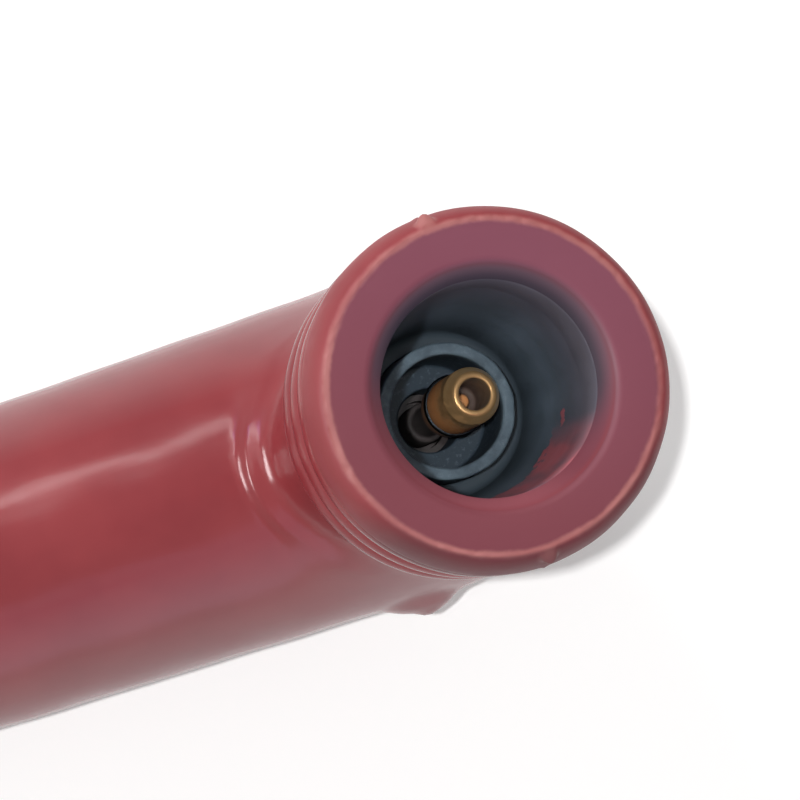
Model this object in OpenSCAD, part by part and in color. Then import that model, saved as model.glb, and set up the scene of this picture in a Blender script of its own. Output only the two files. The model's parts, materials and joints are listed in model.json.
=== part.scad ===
// Right-angle plug-top ignition coil for a small engine.
// The mouth that goes over the spark plug looks up along +Z, on the Z axis.
// The arm that holds the coil lies along -X and ends in the connector.
// The resting plane, under the elbow pad and the strap feet, is z = 0.

/* [Collar and mouth] */
// Height of the mouth's face above the resting plane
mouth_height = 65; // [62:0.5:80]
// Diameter of the flat face around the mouth
face_d = 27; // [25:0.1:29]
// Largest diameter of the collar
collar_d = 30; // [29:0.1:34]
// Height over which the collar flares out below its face
flare_h = 4.5; // [2.5:0.1:5.5]
// Diameter of the mouth at its face
mouth_d = 20.3; // [18.5:0.1:22]
// Diameter of the throat below the lead-in
throat_d = 17.7; // [16:0.1:18]
// Height of the tapered lead-in
lead_in_h = 2.3; // [1:0.1:3]

/* [Grip rings] */
// Number of grip rings below the collar
ring_count = 3; // [2:1:3]
// Distance from one ring to the next
ring_pitch = 6; // [4.5:0.1:6.2]
// Depth of the first ring's crest below the mouth's face
first_ring_depth = 7.6; // [7:0.1:8.5]
// Diameter over the first ring's crest
ring_d = 29.8; // [28.6:0.1:31]
// How much smaller each ring is than the one above it
ring_step = 0.3; // [0:0.05:0.5]
// Radius of a ring's rounded section
ring_round = 2; // [1.5:0.1:2.2]
// Diameter of the grooves between the rings
groove_d = 26.9; // [25.8:0.1:27.6]

/* [Neck and elbow] */
// Diameter of the neck below the rings
neck_d = 24.8; // [24:0.1:26]
// Height of the coved step between the neck and the grooves
cove_h = 4; // [2:0.1:6]
// Distance from the mouth's axis to the axis of the trumpet-shaped skirt
skirt_offset = 7.2; // [5:0.1:9]
// Diameter of the skirt where it meets the arm
skirt_d = 19; // [15:0.1:21]
// Height of the skirt above the top of the arm
skirt_h = 9; // [6:0.5:12]
// Height of the skirt's rim above the top of the arm
skirt_rim = 0.3; // [0.1:0.1:1]
// Radius of the moulding-gate lug on the elbow
lug_r = 4; // [2:0.1:5]
// How far the lug stands out of the elbow
lug_proud = 1.3; // [0.6:0.1:2]
// Distance from the mouth's axis to the lug's middle, towards the arm
lug_offset = 1.9; // [0:0.1:4]
// Diameter of the flat pad under the elbow
pad_d = 14; // [8:0.5:18]

/* [Arm] */
// Height of the arm's axis above the resting plane
arm_height = 15; // [14.9:0.1:16.5]
// Diameter of the arm at the mouth's axis
arm_d = 29.4; // [28.4:0.1:29.8]
// Diameter of the arm at its open end
arm_end_d = 25.1; // [24.4:0.1:28]
// Length of the arm from the mouth's axis to its open end
arm_length = 88; // [86:0.5:110]
// Diameter of the bore that holds the coil
coil_bore_d = 21; // [20.8:0.1:21.6]
// Distance from the mouth's axis to the closed end of that bore
coil_bore_start = 14; // [12:0.5:16]

/* [Rubber liner and insulator tower] */
// Outer diameter of the rubber liner in the mouth
liner_d = 20; // [19.6:0.1:20.8]
// Height of the liner's straight entry
liner_entry_h = 6.7; // [4:0.1:9]
// Inner diameter at the liner's floor
liner_floor_d = 14.6; // [13:0.1:15.5]
// Thickness of the liner's floor
liner_floor_t = 2.5; // [1.5:0.1:4]
// Outer diameter of the insulator tower
tower_d = 11.75; // [11:0.05:12.5]
// Inner diameter of the tower's open end
tower_bore_d = 9.7; // [9:0.05:10]
// Depth of the tower's end below the mouth's face
tower_depth = 24.2; // [22:0.1:26]
// Depth of the tower's wide bore
tower_bore_depth = 9.8; // [9.2:0.1:12]
// Height of the tower above the liner's floor
tower_proud = 5.3; // [3:0.1:6]
// Diameter of the tower's narrow bore
guide_bore_d = 5.6; // [5.4:0.05:6]

/* [Plug contact] */
// Diameter of the brass contact ferrule
ferrule_d = 5; // [4.6:0.05:5.2]
// Diameter of the ferrule's hole
ferrule_hole_d = 2.7; // [2.4:0.05:3.2]
// Depth of the ferrule's hole
ferrule_hole_depth = 4.5; // [2:0.1:5]
// Length of the ferrule's wide barrel and its nose
ferrule_barrel = 8.5; // [7:0.1:9]
// Diameter of the ferrule's lip, around the hole
ferrule_lip_d = 3.7; // [3.5:0.1:4.2]
// Length of the tapered nose between the barrel and the lip
ferrule_nose = 1.1; // [0.4:0.1:1.6]
// How far the upright ferrule would stand above the tower
ferrule_proud = 2; // [0.5:0.1:2.5]
// Direction in which the resting ferrule leans, in degrees from +X towards +Y
lean_turn = 14; // [0:1:30]
// Diameter of the ferrule's stem
stem_d = 2.6; // [2.4:0.1:2.8]
// Diameter of the ball on which the ferrule rocks
ball_d = 2.5; // [2.3:0.05:2.6]
// Outer diameter of the cup around the ball
cup_d = 3.6; // [3.5:0.05:3.8]
// Height of the ball's centre above the arm's axis
ball_height = 9.9; // [9:0.1:10.4]
// Diameter of the neck that carries the ball
ball_neck_d = 1.3; // [1:0.05:1.4]
// Thickness of the plunger's piston
piston_t = 1.5; // [1:0.1:2]
// Height of the bush that keeps the plunger in
bush_h = 2; // [1:0.1:2.4]
// Wire diameter of the ferrule's retaining clip
clip_wire = 0.5; // [0.4:0.05:0.6]
// Wire diameter of the contact spring
spring_wire = 0.5; // [0.4:0.05:0.6]
// Number of turns of the contact spring
spring_turns = 4; // [3:0.5:5]
// Travel of the plunger
plunger_travel = 2; // [1:0.1:2.2]

/* [Suppressor resistor] */
// Diameter of the resistor's ceramic rod
resistor_d = 4.4; // [3.8:0.1:4.6]
// Length of the ceramic rod
resistor_l = 10.6; // [9:0.1:13]
// Wall of the resistor's brass caps
resistor_cap_wall = 0.35; // [0.25:0.05:0.4]
// Length of each brass cap
resistor_cap_l = 3; // [2:0.1:3.4]
// Height of the contact stud in the tower
stud_h = 4.4; // [3.6:0.1:4.8]

/* [Coil] */
// Diameter of the laminated core
core_d = 6.5; // [5.5:0.1:6.7]
// Number of sheets in the core
sheet_count = 7; // [5:2:9]
// Thickness of each bias magnet
magnet_t = 2; // [1:0.1:2.5]
// Thickness of the rubber cushion at each end of the core
cushion_t = 2.15; // [1:0.05:4]
// Inner diameter of the secondary bobbin
secondary_bore_d = 7; // [6.9:0.05:7.2]
// Wall of both bobbins
bobbin_wall = 0.8; // [0.6:0.05:0.9]
// Thickness of the bobbins' end flanges
flange_t = 1.4; // [1:0.1:2]
// Thickness of the ribs between the secondary's winding chambers
rib_t = 0.8; // [0.5:0.1:1.2]
// Number of winding chambers on the secondary bobbin
chamber_count = 8; // [5:1:9]
// Outer diameter of the secondary winding
secondary_d = 11.6; // [10.6:0.1:11.8]
// Outer diameter of the secondary bobbin's flanges
secondary_flange_d = 12.6; // [12.4:0.1:12.8]
// Inner diameter of the primary bobbin
primary_bore_d = 13; // [12.9:0.1:13.2]
// Outer diameter of the primary winding
primary_d = 16.2; // [15.4:0.1:16.4]
// Outer diameter of the primary bobbin's flanges
primary_flange_d = 16.7; // [16.5:0.1:16.9]
// Inner diameter of the slit steel sleeve
sleeve_bore_d = 17.3; // [17.1:0.1:17.5]
// Wall of the slit steel sleeve
sleeve_wall = 0.9; // [0.5:0.05:1]
// Width of the slit in the steel sleeve
sleeve_slit = 1.5; // [0.8:0.1:3]
// Length of the potting plug behind the coil
potting_l = 2.5; // [1.5:0.1:4]
// Diameter of the lead wires
lead_d = 1.2; // [0.8:0.1:1.4]

/* [Rear cap and connector] */
// Length of the cap's spigot inside the arm
spigot_l = 6; // [5.6:0.1:8]
// Thickness of the cap's flange
cap_flange_t = 3; // [2:0.1:5]
// Width of the connector's socket
socket_w = 19; // [17:0.5:20.4]
// Height of the connector's socket
socket_h = 10.4; // [10.2:0.1:14]
// Length of the connector's shroud
shroud_l = 13; // [11:0.5:18]
// Wall of the connector's shroud
shroud_wall = 1.6; // [1.2:0.1:2.2]
// Width of a blade terminal
blade_w = 6.3; // [4.8:0.1:6.5]
// Thickness of a blade terminal
blade_t = 0.8; // [0.5:0.1:1]
// Distance between the middles of the two blades
blade_pitch = 9.5; // [8.5:0.1:10]
// Section diameter of the sealing ring
seal_section = 1.8; // [1.4:0.1:2]
// Diameter of the two retaining pins
pin_d = 2; // [1.5:0.1:2.4]
// How deep the retaining pins reach into the cap
pin_grip = 2; // [1.5:0.1:2.2]
// Metal of the arm left behind the retaining pins
pin_margin = 0.8; // [0.6:0.1:1.2]

/* [Clamp strap] */
// Distance from the mouth's axis to the middle of the strap
strap_offset = 64; // [56:0.5:70]
// Width of the strap
strap_w = 14; // [10:0.5:18]
// Thickness of the strap's steel
strap_t = 2; // [1.5:0.1:3]
// Thickness of the rubber under the strap, at the arm's widest part there
strap_rubber_t = 1.4; // [1:0.1:1.5]
// Distance between the two bolt holes
hole_spacing = 47; // [44:0.5:60]
// Diameter of the bolt holes
hole_d = 6.6; // [5.5:0.1:8.4]
// Metal left around each bolt hole
hole_margin = 4; // [3:0.1:6]
// Inner radius of the strap's bends
bend_r = 1.5; // [1:0.1:2.5]

/* [Fits] */
// Radial clearance of the ball in its cup and of the sliding plunger
running_clear = 0.05; // [0.02:0.01:0.08]
// Gap between fixed pieces that are put together
fit_gap = 0.05; // [0.02:0.01:0.1]
// Gap between the leaning ferrule and the rim of the tower's bore
rest_gap = 0.09; // [0.05:0.01:0.3]

/* [Hidden] */
$fn = 96;

red = [0.56, 0.12, 0.14];
rubber_black = [0.10, 0.11, 0.12];
tower_grey = [0.28, 0.33, 0.37];
brass = [0.72, 0.50, 0.22];
steel = [0.66, 0.67, 0.68];
ceramic = [0.90, 0.88, 0.82];
copper = [0.72, 0.36, 0.20];
bobbin_white = [0.85, 0.84, 0.78];
resin = [0.20, 0.13, 0.09];
nylon_black = [0.07, 0.07, 0.08];

eps = 0.01;

// Vertical stations, from the mouth down
flange_z = mouth_height - flare_h;
throat_z = mouth_height - lead_in_h;
last_ring_z = mouth_height - first_ring_depth - (ring_count - 1) * ring_pitch;
groove_end_z = last_ring_z - ring_round;
neck_top_z = groove_end_z - cove_h;
tower_top_z = mouth_height - tower_depth;
liner_floor_z = tower_top_z - tower_proud;
liner_bottom_z = liner_floor_z - liner_floor_t;
wide_bore_z = tower_top_z - tower_bore_depth;
arm_top_z = arm_height + arm_d / 2;

// The contact stack, from the arm's axis up
stud_low_z = arm_height - stud_h / 2;
stud_top_z = arm_height + stud_h / 2;
tower_low_z = stud_low_z - 1;
ball_z = arm_height + ball_height;
ball_r = ball_d / 2;
cup_below = ball_r * 0.72;
piston_top_z = ball_z - ball_r - 0.4;
piston_low_z = piston_top_z - piston_t;
bush_low_z = piston_top_z + fit_gap;
ferrule_end = tower_top_z + ferrule_proud - ball_z;
barrel_start = ferrule_end - ferrule_barrel;
clip_z = barrel_start + 2;
guide_r = guide_bore_d / 2;
stud_r = guide_r - fit_gap;
spring_r = guide_r - 0.3 - spring_wire;
seat_r = spring_r - 0.2;
seat_h = (piston_low_z - stud_top_z - plunger_travel - 3 * fit_gap) / 2;

// Lean of the resting ferrule, until its barrel nears the rim of the tower's bore
rim_x = tower_bore_d / 2 - rest_gap;
rim_z = tower_top_z - ball_z;
ferrule_lean = acos(ferrule_d / 2 / norm([rim_x, rim_z])) - atan2(rim_z, rim_x);

// Stations along the arm, measured from the mouth's axis towards -X
contact_face = stud_r + fit_gap;
resistor_start = contact_face + resistor_cap_wall + fit_gap;
resistor_end = resistor_start + resistor_l;
cap_r = resistor_d / 2 + fit_gap + resistor_cap_wall;
rear_cap_face = resistor_end + fit_gap + resistor_cap_wall;
cap_spigot_start = arm_length - spigot_l;
potting_end = cap_spigot_start - fit_gap;
coil_end = potting_end - potting_l;
coil_start = rear_cap_face + 3;
bobbin_l = coil_end - coil_start;
core_inset = fit_gap + cushion_t + magnet_t;
core_start = coil_start + core_inset;
core_end = coil_end - core_inset;

coil_bore_r = coil_bore_d / 2;
sleeve_r = sleeve_bore_d / 2 + sleeve_wall;
tower_r = tower_d / 2;
pin_x = arm_length - pin_margin - pin_d / 2;
seal_x = cap_spigot_start + 1 + seal_section / 2;
shroud_end = arm_length + cap_flange_t + shroud_l;
blade_start = cap_spigot_start - 1.4;
strap_bore_r = arm_radius(strap_offset - strap_w / 2) + strap_rubber_t;
foot_y = hole_spacing / 2 + hole_d / 2 + hole_margin;

function arm_radius(x) = (arm_d + (arm_end_d - arm_d) * x / arm_length) / 2;

// Points of an arc about [cx, cy], from angle a0 to a1
function arc(cx, cy, r, a0, a1, n = 10) =
    [for (i = [0:n]) [cx + r * cos(a0 + (a1 - a0) * i / n),
                      cy + r * sin(a0 + (a1 - a0) * i / n)]];

// Points of a quarter ellipse with half axes w and h, from angle a0 to a1
function oval_arc(cx, cy, w, h, a0, a1, n = 12) =
    [for (i = [0:n]) [cx + w * cos(a0 + (a1 - a0) * i / n),
                      cy + h * sin(a0 + (a1 - a0) * i / n)]];

// Cylinder along the arm, from distance x0 to x1 behind the mouth's axis
module along_arm(x0, x1, r0, r1) {
    translate([-x0, 0, arm_height]) rotate([0, -90, 0])
        cylinder(h = x1 - x0, r1 = r0, r2 = r1);
}

module arm_tube(x0, x1, outer, inner) {
    difference() {
        along_arm(x0, x1, outer, outer);
        along_arm(x0 - 1, x1 + 1, inner, inner);
    }
}

module upright(z0, z1, r0, r1) {
    translate([0, 0, z0]) cylinder(h = z1 - z0, r1 = r0, r2 = r1);
}

// Straight round wire between two points
module wire(p, q, d) {
    v = q - p;
    len = norm(v);
    translate(p) rotate([0, acos(v[2] / len), atan2(v[1], v[0])])
        cylinder(h = len, d = d, $fn = 32);
}

// ---- Housing -------------------------------------------------------------

// Half section of the collar, its grooves, the cove and the neck
module collar_and_neck() {
    neck_r = neck_d / 2;
    groove_r = groove_d / 2;
    collar_r = collar_d / 2;
    face_r = face_d / 2;
    rim_sweep = 84;
    rotate_extrude() polygon(concat(
        [[0, arm_height], [neck_r, arm_height]],
        oval_arc(groove_r, neck_top_z, groove_r - neck_r, cove_h, 180, 90),
        [[groove_r, flange_z - 0.4], [collar_r - 0.3, flange_z - 0.4]],
        oval_arc(face_r, flange_z, collar_r - face_r, flare_h, 0, rim_sweep, 8),
        [[face_r, mouth_height], [0, mouth_height]]));
}

module grip_rings() {
    for (i = [0:ring_count - 1])
        translate([0, 0, mouth_height - first_ring_depth - i * ring_pitch])
            rotate_extrude()
                translate([(ring_d - i * ring_step) / 2 - ring_round, 0])
                    circle(ring_round, $fn = 48);
}

// Trumpet that fills the corner between the neck and the arm
module skirt() {
    foot_z = arm_top_z + skirt_rim;
    top_r = neck_d / 2 - skirt_offset;
    foot_r = skirt_d / 2;
    rim_round = 0.5;
    rim_sweep = 70;
    flare_r = foot_r - 0.2;
    translate([-skirt_offset, 0, 0]) rotate_extrude() polygon(concat(
        [[0, arm_height], [foot_r, arm_height], [foot_r, foot_z - rim_round]],
        arc(foot_r - rim_round, foot_z - rim_round, rim_round, 0, rim_sweep, 5),
        oval_arc(flare_r, foot_z + skirt_h, flare_r - top_r, skirt_h - 0.1, 262, 180, 12),
        [[0, foot_z + skirt_h]]));
}

module elbow() {
    translate([0, 0, arm_height]) sphere(d = arm_d);
    upright(0, arm_height, pad_d / 2, pad_d / 2);
    translate([-lug_offset, lug_r - lug_proud - arm_d / 2, arm_height]) sphere(lug_r);
}

module vertical_bores() {
    upright(throat_z, mouth_height, throat_d / 2, mouth_d / 2);
    upright(throat_z - eps, throat_z + eps, throat_d / 2, throat_d / 2);
    upright(liner_bottom_z - fit_gap, throat_z, liner_d / 2 + fit_gap, liner_d / 2 + fit_gap);
    upright(tower_low_z - fit_gap, liner_bottom_z, tower_r + fit_gap, tower_r + fit_gap);
}

module pin_holes(clear) {
    for (side = [-1, 1])
        translate([-pin_x, 0, arm_height]) rotate([-90 * side, 0, 0])
            translate([0, 0, coil_bore_r - pin_grip - clear])
                cylinder(h = coil_bore_r, d = pin_d + 2 * clear, $fn = 48);
}

module housing_shell() {
    color(red) difference() {
        union() {
            collar_and_neck();
            grip_rings();
            skirt();
            elbow();
            along_arm(0, arm_length, arm_d / 2, arm_end_d / 2);
        }
        vertical_bores();
        along_arm(0, coil_bore_start + 1, cap_r + fit_gap, cap_r + fit_gap);
        along_arm(coil_bore_start, arm_length + 1, coil_bore_r, coil_bore_r);
        pin_holes(fit_gap / 2);
    }
}

// ---- Mouth liner and tower -----------------------------------------------

module mouth_liner() {
    entry_z = throat_z - liner_entry_h;
    color(rubber_black) difference() {
        upright(liner_bottom_z, throat_z - fit_gap, liner_d / 2, liner_d / 2);
        upright(entry_z, throat_z, throat_d / 2, throat_d / 2);
        upright(liner_floor_z, entry_z, liner_floor_d / 2, throat_d / 2);
        upright(entry_z - eps, entry_z + eps, throat_d / 2 - eps, throat_d / 2 - eps);
        upright(liner_bottom_z - 1, liner_floor_z + eps, tower_r + fit_gap, tower_r + fit_gap);
    }
}

module insulator_tower() {
    color(tower_grey) difference() {
        upright(tower_low_z, tower_top_z, tower_r, tower_r);
        upright(wide_bore_z, tower_top_z + 1, tower_bore_d / 2, tower_bore_d / 2);
        upright(stud_low_z - fit_gap, wide_bore_z + eps, guide_r, guide_r);
        along_arm(0, tower_r + 1, cap_r + fit_gap, cap_r + fit_gap);
    }
}

// ---- Plug contact --------------------------------------------------------

// Puts children, drawn about the ball's centre, in the resting lean
module leaning() {
    translate([0, 0, ball_z]) rotate([0, 0, lean_turn])
        rotate([0, ferrule_lean, 0]) children();
}

module contact_ferrule() {
    barrel_r = ferrule_d / 2;
    color(brass) leaning() difference() {
        union() {
            upright(-cup_below, ball_r + 1, cup_d / 2, cup_d / 2);
            upright(ball_r, barrel_start + eps, stem_d / 2, stem_d / 2);
            upright(barrel_start, ferrule_end - ferrule_nose, barrel_r, barrel_r);
            upright(ferrule_end - ferrule_nose - eps, ferrule_end, barrel_r, ferrule_lip_d / 2);
        }
        sphere(ball_r + running_clear);
        upright(ferrule_end - ferrule_hole_depth, ferrule_end + 1, ferrule_hole_d / 2, ferrule_hole_d / 2);
        clip_groove(clip_wire / 2 + fit_gap);
    }
}

module clip_groove(r) {
    translate([0, 0, clip_z]) rotate_extrude()
        translate([ferrule_d / 2, 0]) circle(r, $fn = 32);
}

// Open wire clip in the ferrule's groove
module ferrule_clip() {
    color(steel) leaning() difference() {
        clip_groove(clip_wire / 2);
        translate([-ferrule_d, 0, clip_z])
            cube([2 * ferrule_d, ferrule_d / 3, 2], center = true);
    }
}

module contact_plunger() {
    color(brass) {
        upright(piston_low_z, piston_top_z, guide_r - running_clear, guide_r - running_clear);
        upright(piston_top_z - eps, ball_z, ball_neck_d / 2, ball_neck_d / 2);
        upright(piston_low_z - seat_h, piston_low_z + eps, seat_r, seat_r);
        translate([0, 0, ball_z]) sphere(ball_r);
    }
}

// Wire coil between the stud and the plunger's piston
module contact_spring() {
    sides = 8;
    steps = 16;
    count = ceil(spring_turns * steps);
    mean_r = spring_r + spring_wire / 2;
    low = stud_top_z + spring_wire / 2;
    high = piston_low_z - spring_wire / 2;
    rings = [for (i = [0:count], j = [0:sides - 1])
        let (a = 360 * i / steps, b = 360 * j / sides,
             r = mean_r + spring_wire / 2 * cos(b),
             z = low + (high - low) * i / count + spring_wire / 2 * sin(b))
        [r * cos(a), r * sin(a), z]];
    walls = [for (i = [0:count - 1], j = [0:sides - 1])
        [i * sides + j, i * sides + (j + 1) % sides,
         (i + 1) * sides + (j + 1) % sides, (i + 1) * sides + j]];
    ends = [[for (j = [sides - 1:-1:0]) j], [for (j = [0:sides - 1]) count * sides + j]];
    color(steel) polyhedron(rings, concat(walls, ends));
}

module plunger_bush() {
    color(brass) difference() {
        upright(bush_low_z, bush_low_z + bush_h, guide_r - fit_gap, guide_r - fit_gap);
        upright(bush_low_z - 1, bush_low_z + bush_h + 1, cup_d / 2 + 0.4, cup_d / 2 + 0.4);
    }
}

module contact_stud() {
    color(brass) {
        upright(stud_low_z, stud_top_z, stud_r, stud_r);
        upright(stud_top_z - eps, stud_top_z + seat_h, seat_r, seat_r);
    }
}

// ---- Suppressor resistor ---------------------------------------------------

module resistor_rod() {
    color(ceramic) along_arm(resistor_start, resistor_end, resistor_d / 2, resistor_d / 2);
}

module resistor_front_cap() {
    color(brass) difference() {
        along_arm(contact_face, contact_face + resistor_cap_l, cap_r, cap_r);
        along_arm(resistor_start - fit_gap, contact_face + resistor_cap_l + 1,
            resistor_d / 2 + fit_gap, resistor_d / 2 + fit_gap);
        upright(0, mouth_height, stud_r + fit_gap / 2, stud_r + fit_gap / 2);
    }
}

module resistor_rear_cap() {
    color(brass) difference() {
        along_arm(rear_cap_face - resistor_cap_l, rear_cap_face, cap_r, cap_r);
        along_arm(rear_cap_face - resistor_cap_l - 1, resistor_end + fit_gap,
            resistor_d / 2 + fit_gap, resistor_d / 2 + fit_gap);
    }
}

// Brass disc and pin that carry the high voltage to the resistor
module ht_contact() {
    color(brass) {
        along_arm(rear_cap_face, rear_cap_face + 0.8, cap_r - 0.2, cap_r - 0.2);
        along_arm(rear_cap_face + 0.8 - eps, coil_start - fit_gap, 0.8, 0.8);
    }
}

// ---- Coil ----------------------------------------------------------------

// Stack of steel sheets whose widths follow the round bore
module core_laminations() {
    pitch = core_d * 0.94 / sheet_count;
    color(steel) for (i = [0:sheet_count - 1]) {
        y = (i - (sheet_count - 1) / 2) * pitch;
        edge = abs(y) + pitch / 2;
        width = 2 * sqrt(pow(core_d / 2, 2) - pow(min(edge, core_d * 0.48), 2));
        translate([-core_end, y - pitch / 2 + 0.02, arm_height - width / 2])
            cube([core_end - core_start, pitch - 0.04, width]);
    }
}

module front_magnet() {
    color([0.35, 0.35, 0.37]) along_arm(core_start - magnet_t, core_start, core_d / 2, core_d / 2);
}

module rear_magnet() {
    color([0.35, 0.35, 0.37]) along_arm(core_end, core_end + magnet_t, core_d / 2, core_d / 2);
}

module front_cushion() {
    color(rubber_black) along_arm(core_start - magnet_t - cushion_t, core_start - magnet_t,
        core_d / 2, core_d / 2);
}

module rear_cushion() {
    color(rubber_black) along_arm(core_end + magnet_t, core_end + magnet_t + cushion_t,
        core_d / 2, core_d / 2);
}

chamber_pitch = (bobbin_l - 2 * flange_t + rib_t) / chamber_count;

module secondary_bobbin() {
    barrel_r = secondary_bore_d / 2 + bobbin_wall;
    flange_r = secondary_flange_d / 2;
    color(bobbin_white) difference() {
        union() {
            along_arm(coil_start, coil_end, barrel_r, barrel_r);
            along_arm(coil_start, coil_start + flange_t, flange_r, flange_r);
            along_arm(coil_end - flange_t, coil_end, flange_r, flange_r);
            for (i = [1:chamber_count - 1]) {
                rib_x = coil_start + flange_t - rib_t + i * chamber_pitch;
                along_arm(rib_x, rib_x + rib_t, flange_r, flange_r);
            }
        }
        along_arm(coil_start - 1, coil_end + 1, secondary_bore_d / 2, secondary_bore_d / 2);
    }
}

module secondary_winding() {
    inner_r = secondary_bore_d / 2 + bobbin_wall + fit_gap;
    color(copper) for (i = [0:chamber_count - 1]) {
        x = coil_start + flange_t + i * chamber_pitch;
        arm_tube(x + fit_gap, x + chamber_pitch - rib_t - fit_gap, secondary_d / 2, inner_r);
    }
}

module primary_bobbin() {
    barrel_r = primary_bore_d / 2 + bobbin_wall;
    flange_r = primary_flange_d / 2;
    color(bobbin_white) difference() {
        union() {
            along_arm(coil_start, coil_end, barrel_r, barrel_r);
            along_arm(coil_start, coil_start + flange_t, flange_r, flange_r);
            along_arm(coil_end - flange_t, coil_end, flange_r, flange_r);
        }
        along_arm(coil_start - 1, coil_end + 1, primary_bore_d / 2, primary_bore_d / 2);
    }
}

module primary_winding() {
    color(copper) arm_tube(coil_start + flange_t + fit_gap, coil_end - flange_t - fit_gap,
        primary_d / 2, primary_bore_d / 2 + bobbin_wall + fit_gap);
}

// Slit steel tube that closes the magnetic path around the windings
module shield_sleeve() {
    color(steel) difference() {
        arm_tube(coil_start, coil_end, sleeve_r, sleeve_bore_d / 2);
        translate([-coil_end - 1, -sleeve_slit / 2, arm_height])
            cube([bobbin_l + 2, sleeve_slit, sleeve_r + 1]);
    }
}

module potting_resin() {
    color(resin) difference() {
        union() {
            arm_tube(coil_bore_start + fit_gap, potting_end, coil_bore_r - fit_gap, sleeve_r + fit_gap);
            along_arm(coil_end + fit_gap, potting_end, coil_bore_r - fit_gap, coil_bore_r - fit_gap);
        }
        leads(fit_gap);
        blades(fit_gap);
    }
}

// ---- Rear cap and connector ------------------------------------------------

module shroud_box(x0, x1, w, h) {
    translate([-x1, -w / 2, arm_height - h / 2]) cube([x1 - x0, w, h]);
}

module rear_cap() {
    spigot_r = coil_bore_r - fit_gap;
    face = arm_length + cap_flange_t;
    color(nylon_black) difference() {
        union() {
            along_arm(cap_spigot_start, arm_length + fit_gap, spigot_r, spigot_r);
            along_arm(arm_length + fit_gap, face, arm_end_d / 2, arm_end_d / 2 - 0.5);
            difference() {
                shroud_box(arm_length + 1, shroud_end,
                    socket_w + 2 * shroud_wall, socket_h + 2 * shroud_wall);
                shroud_box(face, shroud_end + 1, socket_w, socket_h);
            }
            lock_nose();
        }
        seal_groove();
        pin_holes(fit_gap / 2);
        blades(fit_gap);
    }
}

// Wedge on the shroud that a mating plug's latch snaps over
module lock_nose() {
    low = arm_height + socket_h / 2 + shroud_wall - eps;
    translate([-shroud_end + 2, 3, low]) rotate([90, 0, 0])
        linear_extrude(6) polygon([[0, 0], [4.5, 0], [4.5, 1.6], [3.7, 1.6]]);
}

module seal_groove() {
    arm_tube(seal_x - seal_section / 2 - fit_gap, seal_x + seal_section / 2 + fit_gap,
        coil_bore_r + 1, coil_bore_r - seal_section - fit_gap / 2);
}

module cap_seal() {
    color(rubber_black) translate([-seal_x, 0, arm_height]) rotate([0, -90, 0])
        rotate_extrude() translate([coil_bore_r - seal_section / 2 - fit_gap / 4, 0])
            circle(seal_section / 2 - fit_gap / 4, $fn = 48);
}

module cap_pins() {
    color(steel) intersection() {
        pin_holes(0);
        along_arm(cap_spigot_start, arm_length, arm_radius(cap_spigot_start) - 0.1, arm_end_d / 2 - 0.1);
    }
}

module one_blade(side, clear) {
    y = side * blade_pitch / 2;
    translate([-shroud_end + 1.5 - clear, y - blade_w / 2 - clear, arm_height - blade_t / 2 - clear])
        cube([shroud_end - 1.5 - blade_start + 2 * clear, blade_w + 2 * clear, blade_t + 2 * clear]);
}

module blades(clear) {
    for (side = [-1, 1]) one_blade(side, clear);
}

module primary_blade() {
    color(brass) one_blade(1, 0);
}

module ground_blade() {
    color(brass) one_blade(-1, 0);
}

// Lead from the primary bobbin's rear flange to the back of a blade
module lead(side, clear) {
    flange_y = side * (primary_bore_d / 2 + 1);
    start = [-coil_end - fit_gap + clear, flange_y, arm_height];
    finish = [-blade_start - clear, flange_y, arm_height];
    wire(start, finish, lead_d + 2 * clear);
}

module leads(clear) {
    for (side = [-1, 1]) lead(side, clear);
}

module primary_lead() {
    color(copper) lead(1, 0);
}

module ground_lead() {
    color(copper) lead(-1, 0);
}

// ---- Clamp strap -----------------------------------------------------------

// Outline of the bent steel, seen along the arm
module strap_outline() {
    outer_r = strap_bore_r + fit_gap + strap_t;
    inner_r = strap_bore_r + fit_gap;
    difference() {
        circle(outer_r);
        circle(inner_r);
        translate([-outer_r - 1, -outer_r - 1]) square([2 * outer_r + 2, outer_r + 1]);
    }
    for (side = [0, 1]) mirror([side, 0]) {
        translate([inner_r, -arm_height]) square([strap_t, arm_height]);
        translate([inner_r, -arm_height]) square([foot_y - inner_r, strap_t]);
        translate([outer_r, strap_t - arm_height]) difference() {
            square(bend_r);
            translate([bend_r, bend_r]) circle(bend_r, $fn = 48);
        }
    }
}

module clamp_strap() {
    color(steel) difference() {
        translate([-strap_offset - strap_w / 2, 0, arm_height])
            rotate([90, 0, 90]) linear_extrude(strap_w) strap_outline();
        for (side = [-1, 1])
            translate([-strap_offset, side * hole_spacing / 2, -1])
                cylinder(h = strap_t + 2, d = hole_d);
    }
}

// Split rubber sleeve whose bore follows the arm's taper
module strap_rubber() {
    x0 = strap_offset - strap_w / 2 - 1;
    x1 = strap_offset + strap_w / 2 + 1;
    color(rubber_black) difference() {
        along_arm(x0, x1, strap_bore_r, strap_bore_r);
        along_arm(x0 - 1, x1 + 1, arm_radius(x0 - 1) + fit_gap, arm_radius(x1 + 1) + fit_gap);
        translate([-x1 - 1, -1, 0]) cube([x1 - x0 + 2, 2, arm_height / 2]);
    }
}

housing_shell();
mouth_liner();
insulator_tower();
contact_ferrule();
ferrule_clip();
contact_plunger();
contact_spring();
plunger_bush();
contact_stud();
resistor_rod();
resistor_front_cap();
resistor_rear_cap();
ht_contact();
core_laminations();
front_magnet();
rear_magnet();
front_cushion();
rear_cushion();
secondary_bobbin();
secondary_winding();
primary_bobbin();
primary_winding();
shield_sleeve();
potting_resin();
rear_cap();
cap_seal();
cap_pins();
primary_blade();
ground_blade();
primary_lead();
ground_lead();
clamp_strap();
strap_rubber();
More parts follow.
